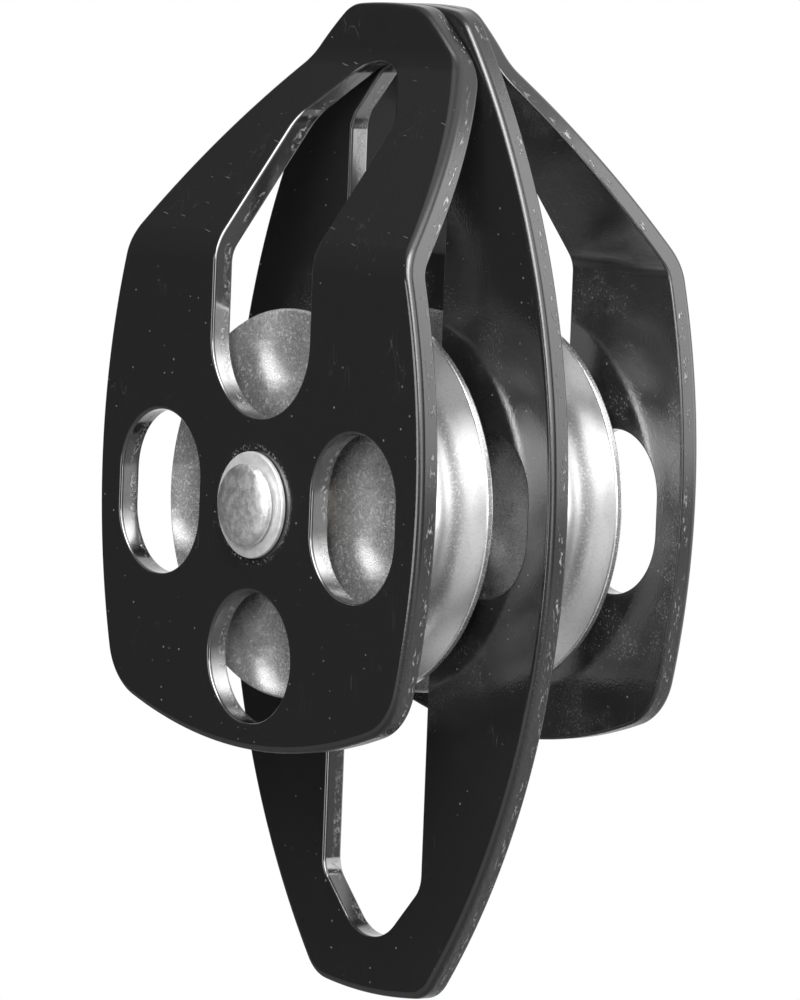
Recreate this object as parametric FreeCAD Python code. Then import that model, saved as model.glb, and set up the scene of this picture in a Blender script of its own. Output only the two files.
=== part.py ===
import FreeCAD, Part
import math
import os

# Double pulley: two grooved sheaves side by side on one riveted axle, between a flat
# centre plate and two bent side plates that swing round the axle to let the rope in.
# Millimetres. X across the plates, Y along the axle, Z up. The origin is the middle of
# the axle. The front side plate is on the -Y side, and the rear one mirrors it.

# Sheet of the three plates
plate_thickness = 3.0
plate_gap = 18.4

# Centre plate outline, the same above and below the axle
centre_half_width = 33.5
centre_side_radius = 103.0
centre_end_z = 64.4

# Side plate outline
side_overhang = 0.1
side_widest_z = 3.0
side_lower_radius = 100.0
side_upper_radius = 60.0
side_radius_change_z = 36.0
side_foot_z = -31.5
side_foot_crown_radius = 76.0
side_foot_corner_radius = 8.5

# Rounded ends that the plates have in common
end_crown_radius = 72.0
end_corner_radius = 5.5

# Bends of a side plate, given at its outer face
lean_start_z = 32.65
lean_angle_deg = 36.8
bend_inner_radius = 4.0
tab_play = 0.1

# Long slots for the snap links at the top and bottom
slot_half_width = 10.1
slot_inner_end_z = 11.1
slot_shoulder_z = 49.2
slot_shoulder_radius = 4.0
slot_tip_z = 56.8
slot_tip_radius = 6.7

# Round and long holes beside and below the axle
side_hole_x = 20.26
side_hole_radius = 8.4
side_hole_straight = 4.5
foot_hole_z = -19.6
foot_hole_radius = 8.45

# Axle, riveted over a washer at each end
axle_radius = 4.0
running_fit = 0.05
snug_fit = 0.02
washer_radius = 6.83
washer_thickness = 0.7
washer_play = 0.06
washer_bevel = 0.25
head_radius = 5.3
head_rim_height = 0.7
head_rim_depth = 0.35
head_height = 2.0

# Sheave
sheave_radius = 25.0
sheave_width = 13.9
sheave_edge_bevel = 0.35
groove_root_radius = 17.0
groove_radius = 5.5
groove_draft_deg = 8.0
sheave_play = 0.1

# Needle bearing: a sleeve on the axle, needles in a cage, and a shell pressed into the sheave
sleeve_radius = 5.0
needle_radius = 0.72
needle_length = 9.2
needle_count = 16
needle_fit = 0.03
shell_wall = 0.5
shell_length = 12.0
shell_lip_radius = 5.6
cage_wall = 0.5
cage_play = 0.15
window_clearance = 0.08

# Spacer rings that keep a sheave in the middle of its gap
spacer_radius = 8.4
spacer_bevel = 0.3

# Places that follow from the sizes above
side_half_width = centre_half_width + side_overhang
centre_face_y = plate_thickness / 2
side_inner_y = centre_face_y + plate_gap
side_outer_y = side_inner_y + plate_thickness
sheave_mid_y = centre_face_y + plate_gap / 2
sheave_half = sheave_width / 2
washer_inner_y = side_outer_y + washer_play
washer_outer_y = washer_inner_y + washer_thickness
tab_outer_y = centre_face_y + tab_play + plate_thickness
shell_inner_radius = sleeve_radius + 2 * needle_fit + 2 * needle_radius
shell_radius = shell_inner_radius + shell_wall
needle_pitch_radius = (sleeve_radius + shell_inner_radius) / 2
reach = 4 * centre_end_z
shortest_line = 1e-6


def xz(x, z):
    """Return a point of the front view."""
    return FreeCAD.Vector(x, 0, z)


def yz(y, z):
    """Return a point of the section across the plates."""
    return FreeCAD.Vector(0, y, z)


def ry(radius, y):
    """Return a point of a turned profile, its radius along X."""
    return FreeCAD.Vector(radius, y, 0)


def rounded_edges(corners):
    """Join points round a closed outline, each corner rounded by its own radius."""
    entries = []
    exits = []
    middles = []
    for index, (point, radius) in enumerate(corners):
        if radius <= 0:
            entries.append(point)
            exits.append(point)
            middles.append(None)
            continue
        back = (corners[index - 1][0] - point).normalize()
        ahead = (corners[(index + 1) % len(corners)][0] - point).normalize()
        half = back.getAngle(ahead) / 2
        run = radius / math.tan(half)
        bisector = (back + ahead).normalize()
        entries.append(point + back * run)
        exits.append(point + ahead * run)
        middles.append(point + bisector * (radius / math.sin(half) - radius))
    edges = []
    for index, middle in enumerate(middles):
        if middle is not None:
            edges.append(Part.Arc(entries[index], middle, exits[index]).toShape())
        following = entries[(index + 1) % len(entries)]
        if (following - exits[index]).Length > shortest_line:
            edges.append(Part.makeLine(exits[index], following))
    return edges


def face_of(edges):
    """Return the flat face that the edges close."""
    return Part.Face(Part.Wire(edges))


def circle_crossings(first, first_radius, second, second_radius):
    """Return the two points that lie at both distances from the two centres."""
    span = second - first
    distance = span.Length
    along = (distance ** 2 + first_radius ** 2 - second_radius ** 2) / (2 * distance)
    across = math.sqrt(first_radius ** 2 - along ** 2)
    unit = span / distance
    normal = xz(unit.z, -unit.x)
    return [first + unit * along + normal * across, first + unit * along - normal * across]


def point_towards(centre, radius, other):
    """Return the point of a circle on the ray from its centre through another point."""
    return centre + (other - centre).normalize() * radius


def arc_between(centre, radius, start, end):
    """Return the shorter arc about a centre, from one point to another."""
    middle = centre + ((start - centre) + (end - centre)).normalize() * radius
    return Part.Arc(start, middle, end).toShape()


def mirrored(edge):
    """Return an edge's mirror image across the middle plane of the front view."""
    return edge.mirror(xz(0, 0), FreeCAD.Vector(1, 0, 0))


def end_arcs(side_centre, side_radius, end_z, crown_radius, corner_radius, way):
    """Return where the side arc ends, and the corner and crown arcs of one end of a plate."""
    crown_centre = xz(0, end_z - way * crown_radius)
    crossings = circle_crossings(
        side_centre,
        side_radius - corner_radius,
        crown_centre,
        crown_radius - corner_radius,
    )
    corner_centre = max(crossings, key=lambda point: point.z * way)
    side_point = point_towards(side_centre, side_radius, corner_centre)
    crown_point = point_towards(crown_centre, crown_radius, corner_centre)
    corner = arc_between(corner_centre, corner_radius, side_point, crown_point)
    left_point = xz(-crown_point.x, crown_point.z)
    crown = Part.Arc(crown_point, xz(0, end_z), left_point).toShape()
    return side_point, corner, crown


def centre_outline():
    """Return the lens outline of the centre plate."""
    side_centre = xz(centre_half_width - centre_side_radius, 0)
    top_point, top_corner, top_crown = end_arcs(
        side_centre, centre_side_radius, centre_end_z, end_crown_radius, end_corner_radius, 1
    )
    foot_point = xz(top_point.x, -top_point.z)
    side = arc_between(side_centre, centre_side_radius, foot_point, top_point)
    upper = [top_corner]
    lower = [edge.mirror(xz(0, 0), FreeCAD.Vector(0, 0, 1)) for edge in upper]
    right = lower + [side] + upper
    left = [mirrored(edge) for edge in right]
    foot_crown = top_crown.mirror(xz(0, 0), FreeCAD.Vector(0, 0, 1))
    return face_of(Part.__sortEdges__(right + left + [top_crown, foot_crown]))


def side_outline():
    """Return the outline of a side plate, as it looks along the axle."""
    lower_centre = xz(side_half_width - side_lower_radius, side_widest_z)
    rise = side_radius_change_z - side_widest_z
    change_x = lower_centre.x + math.sqrt(side_lower_radius ** 2 - rise ** 2)
    change = xz(change_x, side_radius_change_z)
    upper_centre = point_towards(change, side_upper_radius, lower_centre)
    top_point, top_corner, top_crown = end_arcs(
        upper_centre, side_upper_radius, centre_end_z, end_crown_radius, end_corner_radius, 1
    )
    foot_point, foot_corner, foot_crown = end_arcs(
        lower_centre,
        side_lower_radius,
        side_foot_z,
        side_foot_crown_radius,
        side_foot_corner_radius,
        -1,
    )
    lower_side = arc_between(lower_centre, side_lower_radius, foot_point, change)
    upper_side = arc_between(upper_centre, side_upper_radius, change, top_point)
    right = [foot_corner, lower_side, upper_side, top_corner]
    left = [mirrored(edge) for edge in right]
    return face_of(Part.__sortEdges__(right + left + [top_crown, foot_crown]))


def slot_face():
    """Return the outline of the long slot above the axle: a round inner end and a blunt tip."""
    tip_centre_rise = slot_tip_z - slot_tip_radius - slot_shoulder_z
    tip_distance = math.hypot(slot_half_width, tip_centre_rise)
    flank = math.atan2(tip_centre_rise, slot_half_width) + math.asin(slot_tip_radius / tip_distance)
    sharp_tip_z = slot_shoulder_z + slot_half_width * math.tan(flank)
    return face_of(
        rounded_edges(
            [
                (xz(-slot_half_width, slot_inner_end_z), slot_half_width),
                (xz(slot_half_width, slot_inner_end_z), slot_half_width),
                (xz(slot_half_width, slot_shoulder_z), slot_shoulder_radius),
                (xz(0, sharp_tip_z), slot_tip_radius),
                (xz(-slot_half_width, slot_shoulder_z), slot_shoulder_radius),
            ]
        )
    )


def side_hole_face(x):
    """Return the outline of one long hole beside the axle."""
    half_length = side_hole_radius + side_hole_straight / 2
    return face_of(
        rounded_edges(
            [
                (xz(x - side_hole_radius, -half_length), side_hole_radius),
                (xz(x + side_hole_radius, -half_length), side_hole_radius),
                (xz(x + side_hole_radius, half_length), side_hole_radius),
                (xz(x - side_hole_radius, half_length), side_hole_radius),
            ]
        )
    )


def disc_face(x, z, radius):
    """Return a round outline of the front view."""
    circle = Part.Circle(xz(x, z), FreeCAD.Vector(0, 1, 0), radius)
    return face_of([circle.toShape()])


def through(face):
    """Return the outline run along the axle, well past every plate on both sides."""
    return face.translated(yz(-reach, 0)).extrude(yz(2 * reach, 0))


def sheet_section():
    """Return the bent section of the rear side plate, thick all the way."""
    lean = math.radians(lean_angle_deg)
    lean_end_z = lean_start_z + (side_outer_y - tab_outer_y) / math.tan(lean)
    offset = plate_thickness * math.tan(lean / 2)
    outer_radius = bend_inner_radius + plate_thickness
    return face_of(
        rounded_edges(
            [
                (yz(side_outer_y, -reach), 0),
                (yz(side_outer_y, lean_start_z), outer_radius),
                (yz(tab_outer_y, lean_end_z), bend_inner_radius),
                (yz(tab_outer_y, reach), 0),
                (yz(tab_outer_y - plate_thickness, reach), 0),
                (yz(tab_outer_y - plate_thickness, lean_end_z - offset), outer_radius),
                (yz(side_inner_y, lean_start_z - offset), bend_inner_radius),
                (yz(side_inner_y, -reach), 0),
            ]
        )
    )


def turned(edges):
    """Return the solid that a closed profile of radius and Y makes about the axle."""
    return face_of(edges).revolve(ry(0, 0), FreeCAD.Vector(0, 1, 0), 360)


def turned_polygon(points):
    """Return the turned solid of a profile with straight sides."""
    return turned(Part.makePolygon([ry(*point) for point in points + points[:1]]).Edges)


def make_centre_plate():
    """Return the flat middle plate: a snap link slot at each end and two holes beside the axle."""
    plate = centre_outline().translated(yz(-centre_face_y, 0)).extrude(yz(plate_thickness, 0))
    upper_slot = through(slot_face())
    lower_slot = upper_slot.mirror(xz(0, 0), FreeCAD.Vector(0, 0, 1))
    cuts = [upper_slot, lower_slot]
    cuts += [through(side_hole_face(side * side_hole_x)) for side in (-1, 1)]
    cuts += [through(disc_face(0, 0, axle_radius + snug_fit))]
    return plate.cut(cuts)


def make_side_plate():
    """Return the rear side plate: bent in at the top, with a slot and three holes."""
    sheet = sheet_section().translated(xz(-reach, 0)).extrude(xz(2 * reach, 0))
    plate = sheet.common(through(side_outline()))
    cuts = [through(slot_face())]
    cuts += [through(side_hole_face(side * side_hole_x)) for side in (-1, 1)]
    cuts += [through(disc_face(0, foot_hole_z, foot_hole_radius))]
    cuts += [through(disc_face(0, 0, axle_radius + running_fit))]
    return plate.cut(cuts)


def make_axle():
    """Return the riveted axle: a low dome is formed at each end, just clear of its washer."""
    rim_y = washer_outer_y + head_rim_height
    under_y = rim_y - head_rim_depth
    crown_y = washer_outer_y + head_height
    rise = crown_y - rim_y
    crown_radius = (head_radius ** 2 + rise ** 2) / (2 * rise)
    turn = math.asin(head_radius / crown_radius) / 2
    halfway_radius = crown_radius * math.sin(turn)
    halfway_y = crown_y - crown_radius * (1 - math.cos(turn))
    edges = [
        Part.makeLine(ry(0, -crown_y), ry(0, crown_y)),
        Part.makeLine(ry(axle_radius, -washer_outer_y), ry(axle_radius, washer_outer_y)),
    ]
    for way in (-1, 1):
        crown = Part.Arc(
            ry(0, way * crown_y), ry(halfway_radius, way * halfway_y), ry(head_radius, way * rim_y)
        )
        edges += [
            crown.toShape(),
            Part.makeLine(ry(head_radius, way * rim_y), ry(head_radius, way * under_y)),
            Part.makeLine(ry(head_radius, way * under_y), ry(axle_radius, way * washer_outer_y)),
        ]
    return turned(Part.__sortEdges__(edges))


def make_washer():
    """Return the rear washer, its outer rim bevelled."""
    return turned_polygon(
        [
            (axle_radius + snug_fit, washer_inner_y),
            (washer_radius, washer_inner_y),
            (washer_radius, washer_outer_y - washer_bevel),
            (washer_radius - washer_bevel, washer_outer_y),
            (axle_radius + snug_fit, washer_outer_y),
        ]
    )


def make_spacer(plate_y, sheave_y):
    """Return a spacer ring on the axle, bevelled towards the sheave."""
    bevel = math.copysign(spacer_bevel, sheave_y - plate_y)
    return turned_polygon(
        [
            (axle_radius + snug_fit, plate_y),
            (spacer_radius, plate_y),
            (spacer_radius, sheave_y - bevel),
            (spacer_radius - spacer_bevel, sheave_y),
            (axle_radius + snug_fit, sheave_y),
        ]
    )


def make_sheave():
    """Return the rear sheave: a round rope groove between two flat sides, and a plain bore."""
    draft = math.radians(groove_draft_deg)
    flank_radius = groove_root_radius + groove_radius * (1 - math.sin(draft))
    flank_half = groove_radius * math.cos(draft)
    mouth_half = flank_half + (sheave_radius - flank_radius) * math.tan(draft)
    root = Part.Arc(
        ry(flank_radius, sheave_mid_y + flank_half),
        ry(groove_root_radius, sheave_mid_y),
        ry(flank_radius, sheave_mid_y - flank_half),
    )
    corners = [
        (flank_radius, -flank_half),
        (sheave_radius, -mouth_half),
        (sheave_radius, sheave_edge_bevel - sheave_half),
        (sheave_radius - sheave_edge_bevel, -sheave_half),
        (shell_radius, -sheave_half),
        (shell_radius, sheave_half),
        (sheave_radius - sheave_edge_bevel, sheave_half),
        (sheave_radius, sheave_half - sheave_edge_bevel),
        (sheave_radius, mouth_half),
        (flank_radius, flank_half),
    ]
    lines = Part.makePolygon([ry(radius, sheave_mid_y + y) for radius, y in corners]).Edges
    return turned(lines + [root.toShape()])


def make_sleeve():
    """Return the hardened sleeve on the axle, on which the needles run."""
    half = sheave_half + sheave_play
    return tube(axle_radius + snug_fit, sleeve_radius, half)


def make_shell():
    """Return the drawn shell in the sheave's bore, its ends turned in to keep the cage."""
    half = shell_length / 2
    lip = half - shell_wall
    corners = [
        (shell_lip_radius, -half),
        (shell_radius - snug_fit, -half),
        (shell_radius - snug_fit, half),
        (shell_lip_radius, half),
        (shell_lip_radius, lip),
        (shell_inner_radius, lip),
        (shell_inner_radius, -lip),
        (shell_lip_radius, -lip),
    ]
    return turned_polygon([(radius, sheave_mid_y + y) for radius, y in corners])


def tube(inner, outer, half):
    """Return a plain tube round the axle, in the middle of the rear gap."""
    low = sheave_mid_y - half
    high = sheave_mid_y + half
    return turned_polygon([(inner, low), (outer, low), (outer, high), (inner, high)])


def round_the_axle(shape):
    """Return one copy of a shape for each needle, evenly spaced round the axle."""
    step = 360.0 / needle_count
    axis = FreeCAD.Vector(0, 1, 0)
    return [shape.rotated(xz(0, 0), axis, index * step) for index in range(needle_count)]


def make_needles():
    """Return the needles of the bearing, one solid each."""
    start = FreeCAD.Vector(needle_pitch_radius, sheave_mid_y - needle_length / 2, 0)
    needle = Part.makeCylinder(needle_radius, needle_length, start, FreeCAD.Vector(0, 1, 0))
    return Part.makeCompound(round_the_axle(needle))


def make_cage():
    """Return the needle cage: a thin tube with one long window for each needle."""
    half = shell_length / 2 - shell_wall - cage_play
    cage = tube(needle_pitch_radius - cage_wall / 2, needle_pitch_radius + cage_wall / 2, half)
    window_half = needle_length / 2 + window_clearance
    window_width = 2 * (needle_radius + window_clearance)
    corner = FreeCAD.Vector(0, sheave_mid_y - window_half, -window_width / 2)
    window = Part.makeBox(2 * needle_pitch_radius, 2 * window_half, window_width, corner)
    return cage.cut(round_the_axle(window))


def make_parts():
    """Return every sub-part by its name. What comes in pairs is made for the rear and mirrored."""
    inner_stop = sheave_mid_y - sheave_half - sheave_play
    outer_stop = sheave_mid_y + sheave_half + sheave_play
    pairs = {
        "side_plate": make_side_plate(),
        "washer": make_washer(),
        "inner_spacer": make_spacer(centre_face_y, inner_stop),
        "outer_spacer": make_spacer(side_inner_y - washer_play, outer_stop),
        "sheave": make_sheave(),
        "bearing_sleeve": make_sleeve(),
        "bearing_shell": make_shell(),
        "bearing_cage": make_cage(),
        "bearing_needles": make_needles(),
    }
    parts = {"centre_plate": make_centre_plate(), "axle": make_axle()}
    for name, shape in pairs.items():
        parts["rear_" + name] = shape
        parts["front_" + name] = shape.mirror(xz(0, 0), FreeCAD.Vector(0, 1, 0))
    return parts


os.makedirs("parts", exist_ok=True)
for part_name, part_shape in make_parts().items():
    part_shape.exportStep("parts/" + part_name + ".step")
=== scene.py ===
"""Dress a double pulley: black painted plates, turned alloy sheaves, a riveted axle.

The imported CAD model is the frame. The plates, sheaves, axle, washers and spacers are
rebuilt here with rounded rims, the hidden bearings keep their CAD solids, and every
surface gets a finish made of shader nodes. Sizes are in millimetres, and the row frame
is the CAD's: X across the plates, Y along the axle, Z up, the axle's middle the origin.
"""

from __future__ import annotations

import logging
import math
from collections.abc import Iterable, Sequence
from dataclasses import dataclass, replace
from enum import Enum

import bmesh
import bpy
from mathutils import Matrix, Vector
from mathutils import noise as relief_noise

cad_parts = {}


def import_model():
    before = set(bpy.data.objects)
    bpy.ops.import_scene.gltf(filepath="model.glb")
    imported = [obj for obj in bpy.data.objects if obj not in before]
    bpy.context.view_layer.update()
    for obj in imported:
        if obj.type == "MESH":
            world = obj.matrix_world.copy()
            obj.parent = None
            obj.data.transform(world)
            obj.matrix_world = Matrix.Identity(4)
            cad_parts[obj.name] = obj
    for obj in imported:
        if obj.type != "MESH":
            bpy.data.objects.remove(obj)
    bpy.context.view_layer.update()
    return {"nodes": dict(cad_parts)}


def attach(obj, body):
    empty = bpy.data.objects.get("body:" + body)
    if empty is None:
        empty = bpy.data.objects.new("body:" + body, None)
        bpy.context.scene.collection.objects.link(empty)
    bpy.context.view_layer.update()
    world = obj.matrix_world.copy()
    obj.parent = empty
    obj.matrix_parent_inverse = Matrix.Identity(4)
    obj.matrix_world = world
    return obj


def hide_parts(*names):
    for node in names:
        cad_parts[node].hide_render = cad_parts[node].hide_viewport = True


MM = 0.001
TINY = 1e-6
SHEET_THICKNESS = 3.0
SHEAVE_MID_Y = 10.7
NOISE_MIDDLE = 0.5
LOG = logging.getLogger("double_pulley")

Number = float | int
Span = tuple[float, float]
Band = tuple[float, float]
Triple = tuple[float, float, float]
Circle = tuple[float, float, float]
Colour = tuple[float, float, float, float]
Inputs = dict[str | int, object]


def grey(level: float, warmth: float = 0.0) -> Colour:
    """Return a linear grey, tinted a little towards yellow by warmth."""
    return (level * (1 + warmth), level, level * (1 - 2 * warmth), 1.0)


class Side(Enum):
    """The two sides of the centre plate."""

    FRONT = -1
    REAR = 1

    @property
    def label(self) -> str:
        """Return the side's name as the nodes have it."""
        return self.name.lower()


# Shader arithmetic


@dataclass(frozen=True)
class Grain:
    """A smooth noise: bumps for each millimetre, finer layers on top and their strength."""

    scale: float
    detail: float = 2.0
    roughness: float = 0.5


@dataclass(frozen=True)
class Spots:
    """Scattered spots of mixed sizes, in millimetres.

    cell is the mean distance between places for a spot, size the largest spot's radius,
    and share the share of places that hold one. Flat ones lie on a plane.
    """

    cell: float
    size: float
    share: float
    flat: bool = False


class Value:
    """A number socket of a finish, which takes part in Python arithmetic."""

    def __init__(self, sheet: NodeSheet, socket: bpy.types.NodeSocket) -> None:
        """Wrap a socket.

        Args:
            sheet: The node sheet that new Math nodes go on.
            socket: The output socket to wrap.
        """
        self.sheet = sheet
        self.socket = socket

    def math(self, operation: str, *others: Value | Number) -> Value:
        """Return a Math node's result on this value.

        Args:
            operation: The Math node's operation.
            *others: The second and third operands.

        Returns:
            The node's result.
        """
        return self.sheet.math(operation, self, *others)

    def __add__(self, other: Value | Number) -> Value:
        """Return the sum."""
        return self.math("ADD", other)

    __radd__ = __add__

    def __mul__(self, other: Value | Number) -> Value:
        """Return the product."""
        return self.math("MULTIPLY", other)

    __rmul__ = __mul__

    def __sub__(self, other: Value | Number) -> Value:
        """Return the difference."""
        return self.math("SUBTRACT", other)

    def __rsub__(self, other: Number) -> Value:
        """Return a number minus this value."""
        return self.sheet.math("SUBTRACT", other, self)

    def __pow__(self, other: Value | Number) -> Value:
        """Return the power."""
        return self.math("POWER", other)

    def __abs__(self) -> Value:
        """Return the value without its sign."""
        return self.math("ABSOLUTE")

    def larger(self, other: Value | Number) -> Value:
        """Return the larger of this and another value."""
        return self.math("MAXIMUM", other)

    def below(self, limit: Value | Number) -> Value:
        """Return 1 where this is less than the limit, and 0 elsewhere."""
        return self.math("LESS_THAN", limit)

    def above(self, limit: Value | Number) -> Value:
        """Return 1 where this is more than the limit, and 0 elsewhere."""
        return self.math("GREATER_THAN", limit)

    def between(self, start: float, end: float) -> Value:
        """Return the number that lies this share of the way from start to end."""
        return start + (end - start) * self

    def swing(self) -> Value:
        """Return noise as a swing to both sides of 0."""
        return self - NOISE_MIDDLE

    def ramp(self, low: float, high: float) -> Value:
        """Return a smooth step.

        Args:
            low: The value that gives 0.
            high: The value that gives 1, which may be the smaller one.

        Returns:
            A value from 0 to 1.
        """
        ends = (high, low, 1.0, 0.0) if low > high else (low, high, 0.0, 1.0)
        node = self.sheet.node(
            "ShaderNodeMapRange",
            {"interpolation_type": "SMOOTHSTEP"},
            dict(zip(("Value", "From Min", "From Max", "To Min", "To Max"), (self, *ends))),
        )
        return Value(self.sheet, node.outputs["Result"])

    def band(self, middle: float, half_width: float) -> Value:
        """Return 1 at a middle value, falling smoothly to 0 at both sides of it."""
        return abs(self - middle).ramp(half_width, 0.0)


class NodeSheet:
    """The node tree of one material or of the world."""

    def __init__(self, tree: bpy.types.NodeTree) -> None:
        """Start an empty sheet on a node tree.

        Args:
            tree: The tree of a material or of the world.
        """
        self.tree = tree
        tree.nodes.clear()
        self._place: bpy.types.NodeSocket | None = None

    def node(
        self,
        kind: str,
        settings: dict[str, object] | None = None,
        inputs: Inputs | None = None,
    ) -> bpy.types.Node:
        """Add a node.

        Args:
            kind: The node's type.
            settings: Properties, set before the sockets.
            inputs: Values, wrapped values or sockets by the input's name or number.

        Returns:
            The new node.
        """
        made = self.tree.nodes.new(kind)
        for name, setting in (settings or {}).items():
            setattr(made, name, setting)
        for key, given in (inputs or {}).items():
            socket = made.inputs[key]
            if isinstance(given, Value):
                self.tree.links.new(given.socket, socket)
            elif isinstance(given, bpy.types.NodeSocket):
                self.tree.links.new(given, socket)
            else:
                socket.default_value = given
        return made

    def output(self, kind: str, shader: bpy.types.NodeSocket) -> None:
        """Add the output node, fed by a shader."""
        out = self.node(kind)
        self.tree.links.new(shader, out.inputs["Surface"])

    def math(self, operation: str, *operands: Value | Number) -> Value:
        """Add a Math node.

        Args:
            operation: The node's operation.
            *operands: Its operands in order.

        Returns:
            The node's result.
        """
        settings = {"operation": operation}
        made = self.node("ShaderNodeMath", settings, dict(enumerate(operands)))
        return Value(self, made.outputs["Value"])

    def vector_math(self, operation: str, inputs: Inputs) -> bpy.types.NodeSocket:
        """Add a Vector Math node and return its vector."""
        settings = {"operation": operation}
        return self.node("ShaderNodeVectorMath", settings, inputs).outputs["Vector"]

    def place(self) -> bpy.types.NodeSocket:
        """Return the point on the object in millimetres, made once for the sheet.

        Returns:
            The vector socket.
        """
        if self._place is None:
            metres = self.node("ShaderNodeTexCoord").outputs["Object"]
            self._place = self.vector_math("SCALE", {0: metres, "Scale": 1 / MM})
        return self._place

    def stretched(self, vector: bpy.types.NodeSocket, factors: Triple) -> bpy.types.NodeSocket:
        """Return a vector times a factor for each axis."""
        return self.vector_math("MULTIPLY", {0: vector, 1: factors})

    def parts(self, vector: bpy.types.NodeSocket) -> tuple[Value, Value, Value]:
        """Return the three numbers of a vector."""
        made = self.node("ShaderNodeSeparateXYZ", None, {0: vector})
        return tuple(Value(self, made.outputs[axis]) for axis in "XYZ")

    def joined(self, *numbers: Value | Number) -> bpy.types.NodeSocket:
        """Return a vector of three numbers."""
        return self.node("ShaderNodeCombineXYZ", None, dict(enumerate(numbers))).outputs[0]

    def attribute(self, name: str) -> Value:
        """Return a number that the mesh holds for each vertex."""
        made = self.node("ShaderNodeAttribute", {"attribute_name": name})
        return Value(self, made.outputs["Fac"])

    def ray(self, kind: str) -> Value:
        """Return 1 for rays of a kind, such as Camera or Glossy, and 0 for the others."""
        return Value(self, self.node("ShaderNodeLightPath").outputs[f"Is {kind} Ray"])

    def noise(self, vector: bpy.types.NodeSocket, grain: Grain) -> Value:
        """Return smooth noise.

        Args:
            vector: Where it is read, usually in millimetres.
            grain: Its size and layers.

        Returns:
            Noise round a middle of 0.5.
        """
        inputs = {"Vector": vector, "Scale": grain.scale}
        inputs |= {"Detail": grain.detail, "Roughness": grain.roughness}
        return Value(self, self.node("ShaderNodeTexNoise", None, inputs).outputs["Fac"])

    def specks(self, vector: bpy.types.NodeSocket, spots: Spots) -> Value:
        """Return small scattered spots of mixed sizes.

        Args:
            vector: Where they are read, in millimetres.
            spots: Their sizes and share.

        Returns:
            1 in a spot and 0 elsewhere.
        """
        settings = {"voronoi_dimensions": "2D" if spots.flat else "3D"}
        inputs = {"Vector": vector, "Scale": 1 / spots.cell}
        made = self.node("ShaderNodeTexVoronoi", settings, inputs)
        size, chance, _ = self.parts(made.outputs["Color"])
        radius = (size**2.0) * (spots.size / spots.cell)
        near = Value(self, made.outputs["Distance"])
        return near.below(radius) * chance.below(spots.share)

    def mixed(
        self,
        factor: Value,
        first: Colour | bpy.types.NodeSocket,
        second: Colour | bpy.types.NodeSocket,
    ) -> bpy.types.NodeSocket:
        """Return a colour between two colours.

        Args:
            factor: 0 for the first colour, 1 for the second.
            first: A colour or a colour socket.
            second: A colour or a colour socket.

        Returns:
            The mixed colour.
        """
        made = self.node(
            "ShaderNodeMix",
            {"data_type": "RGBA", "clamp_factor": True},
            {0: factor, 6: first, 7: second},
        )
        return made.outputs[2]

    def bump(self, height: Value) -> bpy.types.NodeSocket:
        """Return a normal that a height in millimetres disturbs."""
        inputs = {"Strength": 1.0, "Distance": MM, "Height": height}
        return self.node("ShaderNodeBump", None, inputs).outputs["Normal"]


def from_middle(first: Value, second: Value) -> Value:
    """Return the distance from the middle of two numbers at right angles."""
    return (first * first + second * second) ** 0.5


class Finish:
    """What every finish has in common: a material with one Principled shader.

    In the finishes a Grain or Spots is a pattern. A Span holds the values at which a mask
    starts and is full, and a Band its middle and half width. Lengths are in millimetres.
    """

    name: str

    def material(self) -> bpy.types.Material:
        """Return the finish's material, made once.

        Returns:
            The material, with its name from the finish.
        """
        title = f"{self.name}_finish"
        made = bpy.data.materials.get(title)
        if made is None:
            made = bpy.data.materials.new(title)
            made.use_nodes = True
            sheet = NodeSheet(made.node_tree)
            shader = sheet.node("ShaderNodeBsdfPrincipled", None, self.surface(sheet))
            sheet.output("ShaderNodeOutputMaterial", shader.outputs["BSDF"])
        return made

    def surface(self, sheet: NodeSheet) -> Inputs:
        """Return the inputs of the Principled shader."""
        raise NotImplementedError


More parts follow.
